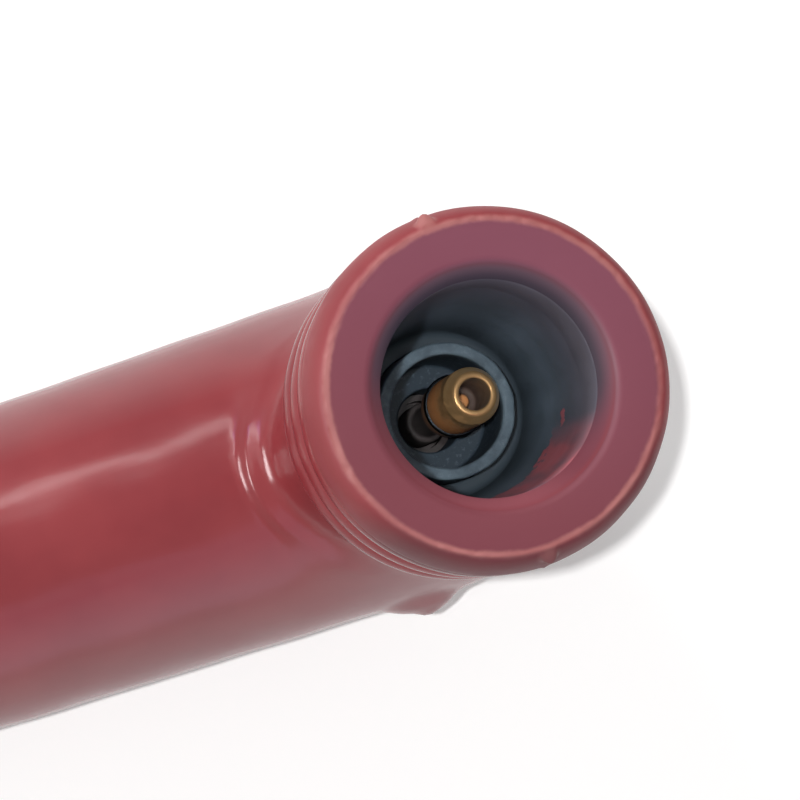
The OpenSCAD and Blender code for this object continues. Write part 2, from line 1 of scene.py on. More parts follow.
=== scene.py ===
"""Looks of a right-angle plug-top ignition coil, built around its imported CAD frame.

Sizes in the code are millimetres, which MM turns to metres.
"""
import json
import math
from functools import partial

import bmesh
import bpy
import numpy as np
from mathutils import Matrix, Vector
from mathutils.bvhtree import BVHTree

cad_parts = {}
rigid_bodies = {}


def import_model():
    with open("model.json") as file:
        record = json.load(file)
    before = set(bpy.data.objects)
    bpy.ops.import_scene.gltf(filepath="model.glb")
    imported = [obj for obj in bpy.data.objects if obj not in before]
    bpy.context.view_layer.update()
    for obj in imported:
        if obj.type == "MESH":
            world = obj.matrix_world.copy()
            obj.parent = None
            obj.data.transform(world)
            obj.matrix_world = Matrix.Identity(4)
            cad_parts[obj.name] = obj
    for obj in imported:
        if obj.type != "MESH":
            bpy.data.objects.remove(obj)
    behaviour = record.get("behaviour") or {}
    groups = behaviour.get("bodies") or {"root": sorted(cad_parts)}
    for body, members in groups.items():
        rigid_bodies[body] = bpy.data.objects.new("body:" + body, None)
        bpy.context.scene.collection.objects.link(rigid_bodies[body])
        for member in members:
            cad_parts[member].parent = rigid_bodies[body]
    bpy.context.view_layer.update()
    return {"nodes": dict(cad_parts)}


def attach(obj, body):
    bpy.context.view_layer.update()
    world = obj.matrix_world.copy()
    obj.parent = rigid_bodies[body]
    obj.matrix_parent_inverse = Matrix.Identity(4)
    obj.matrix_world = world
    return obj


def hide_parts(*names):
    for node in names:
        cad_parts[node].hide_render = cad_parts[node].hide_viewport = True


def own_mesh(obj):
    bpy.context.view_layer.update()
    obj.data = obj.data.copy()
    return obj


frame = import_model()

bl_info = {
    "name": "Right-angle ignition coil",
    "version": (1, 0, 0),
    "blender": (4, 5, 0),
    "location": "3D View > Sidebar > Ignition coil",
    "description": "Dresses the ignition coil's CAD frame with finished pieces and a studio",
    "category": "Object",
}

MM = 0.001
IMAGE = 800

# Named places in the photograph, in pixels from its top left corner
IMAGE_POINTS = {
    "object_right": (667, 390),
    "object_top": (486, 208),
    "object_bottom_at_collar": (479, 579),
    "mouth_centre": (493, 387),
    "mouth_left": (367, 387),
    "mouth_right": (619, 387),
    "tower_centre": (447, 411),
    "contact_hole": (476, 393),
    "skirt_ridge": (242, 440),
    "gate_lug": (424, 612),
    "arm_top_at_left": (0, 403),
    "arm_top_at_collar": (300, 298),
    "flash_nub_low": (549, 556),
    "flash_nub_high": (425, 222),
    "smear_patch": (543, 455),
    "smear_patch_upper": (563, 416),
}

# Stations of the CAD frame, in millimetres: collar and neck
MOUTH_Z = 65.0
MOUTH_R = 10.15
THROAT_Z = 62.7
THROAT_R = 8.87
WIDEST_Z = 60.5
SEAM_Z = 43.2
GROOVE_R = 13.45
NECK_R = 12.4
# Arm, with the skirt on its back and the gate's lug
ARM_Z = 15.0
ARM_R = 14.7
ARM_END_R = 12.55
ARM_LENGTH = 88.0
SKIRT_X = -7.2
SKIRT_TOP_Z = 39.0
LUG = (-3.3, -12.0, 15.0)
LUG_R = 2.6
# Bores, tower and contact, whose top is counted from its ball's centre
LINER_BORE_R = 10.05
LINER_LOW_Z = 32.95
TOWER_TOP_Z = 40.8
TOWER_BORE_R = 5.925
HT_BORE_R = 2.65
BALL_Z = 24.9
FERRULE_TOP = 17.9
FERRULE_LEAN = math.radians(8.0)
LEAN_TURN = math.radians(14.0)
# Strap, its bolts, the cap's pins and the blades
STRAP_X = -64.0
STRAP_BORE_R = ARM_R + (ARM_END_R - ARM_R) * 57 / ARM_LENGTH + 1.4
BOLT_Y = 23.5
PIN_X = -86.2
PIN_R = 1.03
BLADE_Y = 4.75

# Turn Z into the arm's direction, on the arm's axis, and into the direction across the arm, which
# is also that of the cap's pins
ALONG_ARM = Matrix.Translation((0, 0, ARM_Z)) @ Matrix.Rotation(math.radians(-90), 4, "Y")
ACROSS_ARM = Matrix.Rotation(math.radians(90), 4, "X")
PINS = Matrix.Translation((PIN_X, 0, ARM_Z)) @ ACROSS_ARM
# Gives a part that is drawn upright from its ball's centre its resting lean
LEANING = (Matrix.Translation((0, 0, BALL_Z)) @ Matrix.Rotation(LEAN_TURN, 4, "Z")
           @ Matrix.Rotation(FERRULE_LEAN, 4, "Y"))


# ---- Small tools ---------------------------------------------------------------

def linear(code):
    """Linear RGBA of an sRGB hex colour."""
    parts = [int(code[i:i + 2], 16) / 255 for i in (1, 3, 5)]
    return [c / 12.92 if c <= 0.04045 else ((c + 0.055) / 1.055) ** 2.4 for c in parts] + [1.0]


def mesh_of(bm, name):
    """Turns a bmesh in millimetres into a mesh in metres with outward faces."""
    bmesh.ops.remove_doubles(bm, verts=bm.verts, dist=1e-4)
    bmesh.ops.recalc_face_normals(bm, faces=bm.faces)
    bmesh.ops.scale(bm, vec=(MM, MM, MM), verts=bm.verts)
    mesh = bpy.data.meshes.new(name)
    bm.to_mesh(mesh)
    bm.free()
    return mesh


def linked(name, content):
    """An object in the scene, at the origin."""
    piece = bpy.data.objects.new(name, content)
    bpy.context.scene.collection.objects.link(piece)
    return piece


def dress(piece, material, sharp_deg):
    """Gives a piece its one material, and sharp edges where it bends more than the angle."""
    piece.data.materials.clear()
    if material:
        piece.data.materials.append(material)
    piece.data.set_sharp_from_angle(angle=math.radians(sharp_deg))


def piece_from(mesh, name, material, sharp_deg=35):
    """Links a piece, smooth but for edges sharper than the given angle."""
    mesh.shade_smooth()
    piece = linked(name, mesh)
    dress(piece, material, sharp_deg)
    return piece


def piece_of(bm, name, material, sharp_deg=35):
    """Links a bmesh in millimetres as a piece."""
    return piece_from(mesh_of(bm, name), name, material, sharp_deg)


def applied(piece):
    """Applies a piece's modifiers to its mesh."""
    bpy.context.view_layer.update()
    seen = piece.evaluated_get(bpy.context.evaluated_depsgraph_get())
    mesh = bpy.data.meshes.new_from_object(seen)
    old = piece.data
    piece.modifiers.clear()
    piece.data = mesh
    bpy.data.meshes.remove(old)


def boolean(piece, other, operation="DIFFERENCE"):
    """Cuts another piece, which is used up, out of a piece, or joins it on."""
    step = piece.modifiers.new("boolean", "BOOLEAN")
    step.operation = operation
    step.solver = "MANIFOLD"
    step.object = other
    applied(piece)
    bpy.data.objects.remove(other)


def fillet_path(points, steps=5):
    """Path through (r, z, fillet) points whose corners are rounded by their fillets."""
    path = []
    for i, (r, z, fillet) in enumerate(points):
        here = Vector((r, z))
        to_last = Vector(points[i - 1][:2]) - here
        to_next = Vector(points[(i + 1) % len(points)][:2]) - here
        if not fillet:
            path.append((r, z))
            continue
        a, b = to_last.normalized(), to_next.normalized()
        half = math.acos(max(-1.0, min(1.0, a.dot(b)))) / 2
        reach = min(fillet / math.tan(half), to_last.length * 0.49, to_next.length * 0.49)
        radius = reach * math.tan(half)
        centre = here + (a + b).normalized() * (radius / math.sin(half))
        start, end = here + a * reach - centre, here + b * reach - centre
        turn = start.angle_signed(end)
        for k in range(steps + 1):
            spoke = Vector(start)
            spoke.rotate(Matrix.Rotation(-turn * k / steps, 2))
            path.append(tuple(centre + spoke))
    return path


def spun(path, segments, closed=True):
    """bmesh of an (r, z) path spun about the Z axis."""
    bm = bmesh.new()
    verts = [bm.verts.new((r, 0, z)) for r, z in path]
    edges = [bm.edges.new((verts[i], verts[i + 1])) for i in range(len(verts) - 1)]
    if closed:
        edges.append(bm.edges.new((verts[-1], verts[0])))
    bmesh.ops.spin(bm, geom=verts + edges, cent=(0, 0, 0), axis=(0, 0, 1), dvec=(0, 0, 0),
                   angle=math.tau, steps=segments, use_merge=True, use_duplicate=False)
    bmesh.ops.remove_doubles(bm, verts=bm.verts, dist=1e-4)
    return bm


def coordinates(mesh):
    """Vertex places of a mesh as an N by 3 array, in millimetres."""
    flat = np.empty(len(mesh.vertices) * 3)
    mesh.vertices.foreach_get("co", flat)
    return flat.reshape(-1, 3) / MM


def set_coordinates(mesh, places):
    """Puts a mesh's vertices at places in millimetres."""
    mesh.vertices.foreach_set("co", (places * MM).ravel())
    mesh.update()


def waves(places, length, seed):
    """Smooth seeded unevenness between about -1 and 1, with bumps about length wide."""
    rng = np.random.default_rng(seed)
    total = np.zeros(len(places))
    for _ in range(7):
        way = rng.normal(size=3)
        way *= rng.uniform(0.6, 1.4) * math.tau / length / np.linalg.norm(way)
        total += np.sin(places @ way + rng.uniform(0, math.tau))
    return total / 3.5


def box(bm, low, high):
    """Adds a block between two corners."""
    middle = [(a + b) / 2 for a, b in zip(low, high)]
    size = [b - a for a, b in zip(low, high)]
    bmesh.ops.create_cube(bm, size=1.0, matrix=Matrix.Translation(middle) @ Matrix.Diagonal(size + [1]))


def prism(outline, push):
    """bmesh of a flat outline that is pushed along a vector."""
    bm = bmesh.new()
    face = bm.faces.new([bm.verts.new(place) for place in outline])
    pushed = bmesh.ops.extrude_face_region(bm, geom=[face])["geom"]
    bmesh.ops.translate(bm, vec=push, verts=[v for v in pushed if isinstance(v, bmesh.types.BMVert)])
    return bm


def coiled_wire(wire_r, mean_r, low, rise, turn_deg, steps, segments, start_deg=0):
    """bmesh of a round wire that runs about Z from a height and azimuth, with closed ends."""
    bm = bmesh.new()
    bmesh.ops.create_circle(bm, segments=segments, radius=wire_r, cap_ends=False,
                            matrix=Matrix.Translation((mean_r, 0, low)) @ ACROSS_ARM)
    bmesh.ops.rotate(bm, cent=(0, 0, 0), matrix=Matrix.Rotation(math.radians(start_deg), 3, "Z"),
                     verts=bm.verts)
    first = bm.verts[:]
    turned = bmesh.ops.spin(bm, geom=bm.verts[:] + bm.edges[:], cent=(0, 0, 0), axis=(0, 0, 1),
                            dvec=(0, 0, rise / steps), angle=math.radians(turn_deg), steps=steps,
                            use_merge=False, use_duplicate=False)
    for end in (first, [v for v in turned["geom_last"] if isinstance(v, bmesh.types.BMVert)]):
        bmesh.ops.contextual_create(bm, geom=end)
    return bm


def cutter(bm, turn=Matrix()):
    """Links a closed bmesh as a solid that a boolean uses up."""
    bmesh.ops.transform(bm, matrix=turn, verts=bm.verts)
    return linked("cutter", mesh_of(bm, "cutter"))


def block_cutter(low, high):
    """Links a block between two corners as a solid that a boolean uses up."""
    bm = bmesh.new()
    box(bm, low, high)
    return cutter(bm)


def bore(piece, radius, low, high, segments=192, turn=Matrix()):
    """Cuts a round hole along the turned Z, between two heights, out of a piece."""
    path = [(0, low), (radius, low), (radius, high), (0, high)]
    boolean(piece, cutter(spun(path, segments, closed=False), turn))


# ---- Image points --------------------------------------------------------------

def place_in_view(context, carrier, name):
    """Where a named image point lies on its carrier, in metres: on a ray from the camera or,
    where that misses, at the place nearest the ray."""
    camera = context.scene.camera
    lens, x, y = camera.data, *IMAGE_POINTS[name]
    way = Vector((x - IMAGE / 2 + lens.shift_x * IMAGE, IMAGE / 2 - y + lens.shift_y * IMAGE,
                  -IMAGE * lens.lens / lens.sensor_width))
    start = camera.matrix_world.translation
    way = (camera.matrix_world.to_3x3() @ way).normalized()
    place = carrier.ray_cast(start, way)[0]
    if place is None:
        # The object lies between 0.3 and 0.5 m from the camera
        steps = (carrier.find_nearest(start + way * d) for d in np.linspace(0.3, 0.5, 400))
        place = min(steps, key=lambda found: found[3])[0]
    return place


def image_of(context, places):
    """Pixels at which places, an N by 3 array in metres, show in the camera's picture."""
    camera = context.scene.camera
    lens = camera.data
    turn = np.array(camera.matrix_world.inverted())
    seen = places @ turn[:3, :3].T + turn[:3, 3]
    scale = IMAGE * lens.lens / lens.sensor_width / -seen[:, 2]
    return np.stack([IMAGE / 2 + seen[:, 0] * scale - lens.shift_x * IMAGE,
                     IMAGE / 2 - seen[:, 1] * scale + lens.shift_y * IMAGE], axis=1)


# ---- Materials -----------------------------------------------------------------

# The setting that each kind of node takes as its mode, and its value where none is given
MODES = {"Math": ("operation", "MULTIPLY"), "VectorMath": ("operation", "DISTANCE"),
         "MapRange": ("interpolation_type", "LINEAR"), "Mix": ("data_type", "RGBA")}


def add_node(tree, kind, inputs=(), mode=None, **settings):
    """Adds a shader node with its settings and links it up. A list fills the sockets that show,
    in order, and a dict fills them by name."""
    node = tree.nodes.new("ShaderNode" + kind)
    if kind in MODES:
        setting, usual = MODES[kind]
        settings[setting] = mode or usual
    for key, value in settings.items():
        setattr(node, key, value)
    showing = [i for i, socket in enumerate(node.inputs) if socket.enabled]
    fill(node, inputs if isinstance(inputs, dict) else dict(zip(showing, inputs)))
    return node


def fill(node, inputs):
    """Links or sets a node's inputs. A node stands for its result, a hex code for its colour."""
    for key, value in inputs.items():
        if isinstance(value, bpy.types.Node):
            value = next(out for out in value.outputs if out.enabled)
        if isinstance(value, bpy.types.NodeSocket):
            node.id_data.links.new(value, node.inputs[key])
        else:
            node.inputs[key].default_value = linear(value) if isinstance(value, str) else value


def new_material(name):
    """A material, the function that adds nodes to it, its shader, and the Object coordinates
    in millimetres."""
    material = bpy.data.materials.new(name)
    material.use_nodes = True
    material.node_tree.nodes.clear()
    add = partial(add_node, material.node_tree)
    shader = add("BsdfPrincipled")
    add("OutputMaterial", {"Surface": shader})
    place = add("TexCoord").outputs["Object"]
    at = add("Mapping", {"Vector": place, "Scale": [1 / MM] * 3})
    return material, add, shader, at


def around_axis(add, at):
    """Radius and azimuth in the XY plane, and height, of a place in millimetres."""
    split = add("SeparateXYZ", [at]).outputs
    flat = add("VectorMath", [at, (1, 1, 0)], "MULTIPLY")
    radius = add("VectorMath", [flat], "LENGTH")
    return radius, add("Math", [split["Y"], split["X"]], "ARCTAN2"), split["Z"]


def facing(add, azimuth, toward):
    """Cosine of the angle between an azimuth and another, in radians: 1 where they agree."""
    return add("Math", [add("Math", [azimuth, toward], "SUBTRACT")], "COSINE")


def clouded(add, at, size_mm, detail, full, deep, pale):
    """A cloudy pattern, and the colour that runs with it from one to another, which is full
    where the pattern passes a level."""
    cloud = add("TexNoise", [at, 1 / size_mm, detail, 0.55])
    share = add("MapRange", [cloud, 0.35, full, 0, 1])
    return cloud, add("Mix", [share, deep, pale])


def coat(add, under, colour, *shares):
    """A colour laid over another where all of the shares hold."""
    share = shares[0]
    for other in shares[1:]:
        share = add("Math", [share, other])
    return add("Mix", [share, under, colour])


def finish(add, shader, colour, rough, relief, strength, height_mm, **uniform):
    """Gives a shader its colour, roughness and relief, and single values, with _ for a blank."""
    bump = add("Bump", {"Height": relief, "Strength": strength, "Distance": height_mm * MM})
    fill(shader, {"Base Color": colour, "Roughness": rough, "Normal": bump})
    fill(shader, {key.replace("_", " "): value for key, value in uniform.items()})


def moulded_red_thermoset(looks, nubs):
    """Compression-moulded red thermoset: a glossy skin with faint flow marks, duller towards
    the ground face, rubbed to a salmon line along the face's edge, and darkened with painted
    shade on the far side of the lead-in."""
    material, add, shader, at = new_material("moulded_red_thermoset")
    radius, azimuth, height = around_axis(add, at)
    # Clouds 9 mm across, and flow marks 1.5 by 5 mm that run along the arm
    cloud, body = clouded(add, at, 9, 3.0, 0.65, looks.red_deep, looks.red_body)
    drawn = add("Mapping", {"Vector": at, "Scale": (0.3, 1, 1)})
    marks = add("TexNoise", [drawn, 1 / 1.5, 3.0, 0.6])
    ground = add("MapRange", [height, 64.3, 64.8, 0, 1], "SMOOTHSTEP")
    flat = add("MapRange", [radius, 13.3, 13.7, 1, 0])
    ground = add("Math", [ground, flat])
    # The face turns lighter and more purple towards its upper side
    across = add("VectorMath", [at, (0.5, 0.86, 0)], "DOT_PRODUCT")
    bloom = add("MapRange", [across, -9.0, 11.0, 0, 1])
    face = add("Mix", [bloom, looks.red_ground, looks.red_face_upper])
    inside = add("MapRange", [radius, 9.5, 10.4, 1, 0], "SMOOTHSTEP")
    low = add("MapRange", [height, 62.0, 62.4, 0, 1], "SMOOTHSTEP")
    lead = add("Math", [inside, low])
    body = add("Mix", [add("Math", [ground, lead], "MAXIMUM"), body, face])
    # The rubbed edge: a line about half a millimetre wide along the bead, wavering every 2 mm
    chips = add("TexNoise", [at, 1 / 2.0, 3.0, 0.55])
    waver = add("Math", [chips, -0.5, radius], "MULTIPLY_ADD")
    off = add("Math", [add("Math", [waver, 13.3], "SUBTRACT")], "ABSOLUTE")
    line = add("MapRange", [off, 0.05, 0.47, 1, 0], "SMOOTHSTEP")
    upper = add("MapRange", [height, 64.2, 64.7, 0, 1], "SMOOTHSTEP")
    ragged = add("MapRange", [cloud, 0.35, 0.65, 0.45, 1.0])
    body = coat(add, body, looks.red_worn, line, upper, ragged)
    # The two nubs of flash are rubbed as light
    for place in nubs:
        away = add("VectorMath", [at, tuple(place / MM)])
        nub = add("MapRange", [away, 0.6, 1.2, 0.85, 0], "SMOOTHSTEP")
        body = coat(add, body, looks.red_worn, nub)
    # Painted shade in the lead-in, deepest opposite the gate
    far = add("MapRange", [facing(add, azimuth, 1.45), -0.6, 0.6, 0, 1], "SMOOTHSTEP")
    body = coat(add, body, looks.red_lead_shade, lead, far)
    # and painted light, lighter on the side of the arm and the gate
    near = add("MapRange", [facing(add, azimuth, -2.3), 0.2, 0.9, 0, 0.75], "SMOOTHSTEP")
    body = coat(add, body, looks.red_lead_lit, lead, near)
    # Painted shade darkens the lead-in's inner edge away from the arm
    inner = add("MapRange", [radius, 8.9, 9.9, 0.85, 0], "SMOOTHSTEP")
    beyond = add("MapRange", [facing(add, azimuth, 1.0), -0.4, 0.4, 0, 1], "SMOOTHSTEP")
    body = coat(add, body, looks.red_edge_shade, inner, beyond, lead)
    # Dust and painted sheen on the arm's sides, most on the gate's side, and painted shade on that side of
    # the collar's rim
    across = add("SeparateXYZ", [at]).outputs["Y"]
    under = add("MapRange", [across, -5.0, -13.5, 0, 0.32])
    over = add("MapRange", [across, 8.0, 14.5, 0, 0.25])
    lying = add("MapRange", [height, 26.0, 34.0, 1, 0], "SMOOTHSTEP")
    body = coat(add, body, looks.red_dust_and_sheen, add("Math", [under, over], "MAXIMUM"), lying)
    # Painted shade on the gate's side of the collar's rim
    outer = add("MapRange", [radius, 13.5, 13.9, 0, 1], "SMOOTHSTEP")
    collar_shade_share = add("MapRange", [across, -5.0, -11.0, 0, 0.7], "SMOOTHSTEP")
    collar = add("MapRange", [height, 57.0, 58.0, 0, 1])
    body = coat(add, body, looks.red_collar_shade, outer, collar_shade_share, collar)
    dull = add("MapRange", [height, 58.0, 61.5, looks.gloss, looks.gloss + 0.36])
    mottle = add("MapRange", [marks, 0.3, 0.7, -0.03, 0.04])
    rough = add("Math", [dull, mottle], "ADD")
    relief = add("Math", [cloud, 2.0, marks], "MULTIPLY_ADD")
    finish(add, shader, body, rough, relief, 0.3, 0.05, IOR=1.5, Specular_IOR_Level=looks.shine)
    return material


def moulded_black_rubber(looks):
    """Moulded EPDM rubber: matt charcoal with a dusty bloom."""
    material, add, shader, at = new_material("moulded_black_rubber")
    cloud, colour = clouded(add, at, 3.0, 4.0, 0.7, looks.rubber, looks.rubber_bloom_and_shade)
    rough = add("MapRange", [cloud, 0.3, 0.7, 0.62, 0.78])
    finish(add, shader, colour, rough, cloud, 0.4, 0.06, IOR=1.5)
    return material


def smeared_rubber(looks, patches):
    """The liner's rubber: powdered grey by the mould release, stained purple near the mouth,
    with red compound drawn over it in ragged fingers and in separate patches, given as places
    and their relative sizes."""
    material, add, shader, at = new_material("powdered_rubber_with_red_smears")
    _, azimuth, height = around_axis(add, at)
    cloud, colour = clouded(add, at, 3.0, 4.0, 0.7, looks.liner, looks.liner_bloom)
    high = add("MapRange", [height, 46.0, 61.0, 0, 0.85], "SMOOTHSTEP")
    colour = coat(add, colour, looks.liner_stain, high)
    # Painted shade: the rubber darkens deeper down in the well
    deep_shade = add("MapRange", [height, 35.0, 45.0, 0.85, 0], "SMOOTHSTEP")
    colour = coat(add, colour, looks.rubber_bloom_and_shade, deep_shade)
    # Fingers a millimetre wide and 4 mm long: the lower edge of the smear runs ragged
    drawn = add("Mapping", {"Vector": at, "Scale": (1.0, 1.0, 0.25)})
    fingers = add("TexNoise", [drawn, 1 / 1.0, 4.0, 0.6])
    blots = add("TexNoise", [drawn, 1 / 2.6, 2.0, 0.5])
    edge = add("Math", [fingers, -11.0, height], "MULTIPLY_ADD")
    above = add("MapRange", [edge, 41.2, 42.6, 0, 1], "SMOOTHSTEP")
    side = add("MapRange", [facing(add, azimuth, -1.22), 0.72, 0.93, 0, 1], "SMOOTHSTEP")
    thick = add("MapRange", [blots, 0.35, 0.6, 0.55, 1.0])
    smear = add("Math", [add("Math", [above, side]), thick])
    for place, size in patches:
        away = add("VectorMath", [at, tuple(place / MM)])
        ragged = add("Math", [fingers, 3.2 * size, away], "MULTIPLY_ADD")
        patch = add("MapRange", [ragged, 2.3 * size, 2.7 * size, 1, 0], "SMOOTHSTEP")
        smear = add("Math", [smear, patch], "MAXIMUM")
    red = add("Mix", [thick, looks.smear_dull, looks.smear])
    colour = add("Mix", [smear, colour, red])
    rough = add("MapRange", [cloud, 0.3, 0.7, 0.55, 0.7])
    finish(add, shader, colour, rough, add("Math", [cloud, smear], "ADD"), 0.4, 0.08, IOR=1.5)
    return material


def moulded_grey_nylon(looks):
    """Glass-filled nylon, moulded and dusty: bluish grey, with its end rubbed lighter and nicked."""
    material, add, shader, at = new_material("moulded_grey_nylon")
    _, _, height = around_axis(add, at)
    cloud = add("TexNoise", [at, 1 / 2.2, 4.0, 0.6])
    specks = add("TexNoise", [at, 1 / 0.5, 3.0, 0.6])
    rim = add("MapRange", [height, TOWER_TOP_Z - 1.5, TOWER_TOP_Z - 0.4, 0, 1], "SMOOTHSTEP")
    rubbed = add("Math", [rim, add("MapRange", [cloud, 0.32, 0.6, 0.35, 1.0])])
    colour = add("Mix", [rubbed, looks.tower_wall, looks.tower_rim])
    dust = add("MapRange", [specks, 0.55, 0.75, 0.0, 0.3])
    colour = coat(add, colour, looks.tower_speck, dust)
    relief = add("Math", [cloud, specks], "ADD")
    finish(add, shader, colour, 0.62, relief, 0.5, 0.08)
    return material


def turned_brass(looks):
    """Free-cutting brass turned on a lathe: bright at the contact's nose, brown with tarnish
    down its barrel, and nearly black with painted shade below it and in its hole."""
    material, add, shader, at = new_material("turned_brass")
    # The leaning contact's own axes, from its ball's centre
    own = add("Mapping", [at, (0, 0, BALL_Z), (0, FERRULE_LEAN, LEAN_TURN)], vector_type="TEXTURE")
    radius, _, along = around_axis(add, own)
    patches = add("TexNoise", [at, 1 / 1.1, 4.0, 0.6])
    worn = add("MapRange", [along, 11.5, 17.4, 0, 1])
    clean = add("Math", [patches, 0.9, worn], "MULTIPLY_ADD")
    clean = add("MapRange", [clean, 0.75, 1.45, 0, 1], "SMOOTHSTEP")
    colour = add("Mix", [clean, looks.brass_film, looks.brass])
    # Painted shade: darker deeper in the mouth and in the contact's hole
    deep = add("MapRange", [along, 9.0, 14.0, 0.97, 0.0], "SMOOTHSTEP")
    hole = add("MapRange", [radius, 1.36, 1.48, 0.92, 0], "SMOOTHSTEP")
    head = add("MapRange", [radius, 0.4, 0.7, 0, 1], "SMOOTHSTEP")
    hole = add("Math", [hole, head])
    dark = add("Math", [deep, hole], "MAXIMUM")
    colour = coat(add, colour, looks.brass_shade, dark)
    rough = add("MapRange", [clean, 0, 1, 0.55, 0.3])
    bright = add("MapRange", [clean, 0, 1, 0.2, 0.8])
    metal = add("Math", [bright, add("MapRange", [dark, 0, 0.8, 1.0, 0.0])])
    # Tool marks 0.35 mm apart, twice what a lathe leaves, so that they show
    rings = add("TexWave", [own, 0.9, 0.6, 2.0], wave_type="BANDS", bands_direction="Z")
    finish(add, shader, colour, rough, rings, 0.25, 0.02, Metallic=metal)
    return material


def plain_metal(name, colour_a, colour_b, grain_mm, stretch, rough_low, rough_high, bump_mm=0.01):
    """A metal whose roughness and bump follow one stretched grain, and its colour a cloud too."""
    material, add, shader, at = new_material(name)
    grain_at = add("Mapping", {"Vector": at, "Scale": stretch})
    grain = add("TexNoise", [grain_at, 1 / grain_mm, 4.0, 0.6])
    cloud = add("TexNoise", [at, 1 / 6.0, 3.0, 0.55])
    both = add("Math", [grain, cloud], "ADD")
    share = add("MapRange", [both, 0.8, 1.2, 0, 1])
    colour = add("Mix", [share, colour_a, colour_b])
    rough = add("MapRange", [grain, 0.3, 0.7, rough_low, rough_high])
    finish(add, shader, colour, rough, grain, 0.3, bump_mm, Metallic=1.0)
    return material


def plain_plastic(name, colour_a, colour_b, cloud_mm, rough_low, rough_high, grain_mm=0.4,
                  bump_mm=0.02):
    """A moulded or cast plastic with a soft colour cloud and a fine skin."""
    material, add, shader, at = new_material(name)
    colour = clouded(add, at, cloud_mm, 4.0, 0.65, colour_a, colour_b)[1]
    skin = add("TexNoise", [at, 1 / grain_mm, 2.0, 0.55])
    rough = add("MapRange", [skin, 0.3, 0.7, rough_low, rough_high])
    finish(add, shader, colour, rough, skin, 0.4, bump_mm)
    return material


def wound_copper_wire(name, pitch_mm):
    """Enamelled copper wire wound tight: ridges one wire apart under an amber varnish."""
    material, add, shader, at = new_material(name)
    # A wave texture of scale 1 repeats about every 0.3183 mm
    ridge = add("TexWave", [at, 0.3183 / pitch_mm, 0.4, 1.0], wave_type="BANDS", bands_direction="X")
    share = add("MapRange", [ridge.outputs["Fac"], 0.1, 0.8, 0, 1])
    colour = add("Mix", [share, "#5a2713", "#b8663a"])
    finish(add, shader, colour, 0.32, ridge.outputs["Fac"], 0.7, 0.1, Metallic=0.85)
    return material


# ---- Sizes and colours ---------------------------------------------------------

def colour_prop(name, description, code):
    return bpy.props.StringProperty(name=name, description=description + ", as an sRGB hex code",
                                    default=code)


def number_prop(name, description, value, low=0.0, high=1.0, unit="NONE"):
    return bpy.props.FloatProperty(name=name, description=description, default=value, min=low, max=high,
                                   unit=unit)


def power_prop(name, description, value):
    return bpy.props.FloatProperty(name=name, description="Power of the " + description, default=value,
                                   min=0.0, unit="POWER")


def vector_prop(name, description, value, kind):
    return bpy.props.FloatVectorProperty(name=name, description=description, default=value, size=3,
                                         subtype=kind, unit="NONE" if kind == "DIRECTION" else "LENGTH")


class CoilHousingLooks(bpy.types.PropertyGroup):
    """Moulded housing."""
    red_body: colour_prop("Red", "Colour of the moulded housing", "#893438")
    red_deep: colour_prop("Deep red", "Darker cloud in the housing", "#812e33")
    red_ground: colour_prop("Ground face", "Colour of the mouth's ground face", "#6e343d")
    # Lighter, more purple colour towards the face's upper side
    red_face_upper: colour_prop("Face bloom", "Purplish bloom towards the face's upper side", "#743d4c")
    red_worn: colour_prop("Worn red", "Colour of the housing's rubbed edges", "#a56865")
    # Painted shade in the mouth's lead-in, deepest opposite the gate
    red_lead_shade: colour_prop("Filmed red", "Red under black rubber film in the mouth", "#664f5b")
    # Painted light on the mouth's lead-in, on the side of the arm and the gate
    red_lead_lit: colour_prop("Rubbed red", "Lead-in of the mouth where it is rubbed clean", "#97525b")
    # Painted shade along the lead-in's inner edge
    red_edge_shade: colour_prop("Booted", "Red blackened along the lead-in's inner edge", "#33303b")
    # Dust and painted sheen, a reflected haze, on the arm's sides
    red_dust_and_sheen: colour_prop("Dust", "Dust on the arm's sides", "#a9989a")
    # Painted shade on the gate's side of the collar
    red_collar_shade: colour_prop("Grime", "Grime on the gate's side of the collar", "#4a262b")
    gloss: number_prop("Roughness", "Roughness of the moulded skin", 0.21, 0.05, 0.8)
    shine: number_prop("Shine", "Strength of the moulded skin's reflections", 0.28)
    grain: number_prop("Mesh grain", "Size of the body's faces", 0.0005, 0.0003, 0.002, "LENGTH")
    nub_height: number_prop("Flash height", "How far the flash stands out", 0.0007, 0.0, 0.001, "LENGTH")


class CoilMouthLooks(bpy.types.PropertyGroup):
    """Rubber liner, tower and contact."""
    rubber: colour_prop("Rubber", "Colour of the black rubber", "#1d2327")
    # Also the colour of the painted shade deep in the liner's well
    rubber_bloom_and_shade: colour_prop("Rubber bloom", "Dusty bloom on the rubber", "#2c343a")
    liner: colour_prop("Liner", "Colour of the powdered liner", "#53606b")
    liner_bloom: colour_prop("Liner bloom", "Thicker powder on the liner", "#606d7a")
    liner_stain: colour_prop("Liner stain", "Stained rubber near the mouth", "#66606c")
    smear: colour_prop("Smear", "Red compound drawn over the rubber", "#bd6770")
    smear_dull: colour_prop("Dull smear", "Thin red compound on the rubber", "#8f616b")
    tower_wall: colour_prop("Tower wall", "Colour of the tower's walls", "#2d3740")
    tower_rim: colour_prop("Tower rim", "Colour of the tower's rubbed rim", "#56656f")
    tower_speck: colour_prop("Tower specks", "Dust on the tower", "#7a8993")
    brass: colour_prop("Brass", "Colour of the clean brass", "#e0b37c")
    brass_film: colour_prop("Brass film", "Tarnish on the brass", "#cb8a57")
    # Painted shade on the brass deep in the mouth and in its hole
    brass_shade: colour_prop("Black brass", "Grime on the brass deep in the mouth", "#272c30")


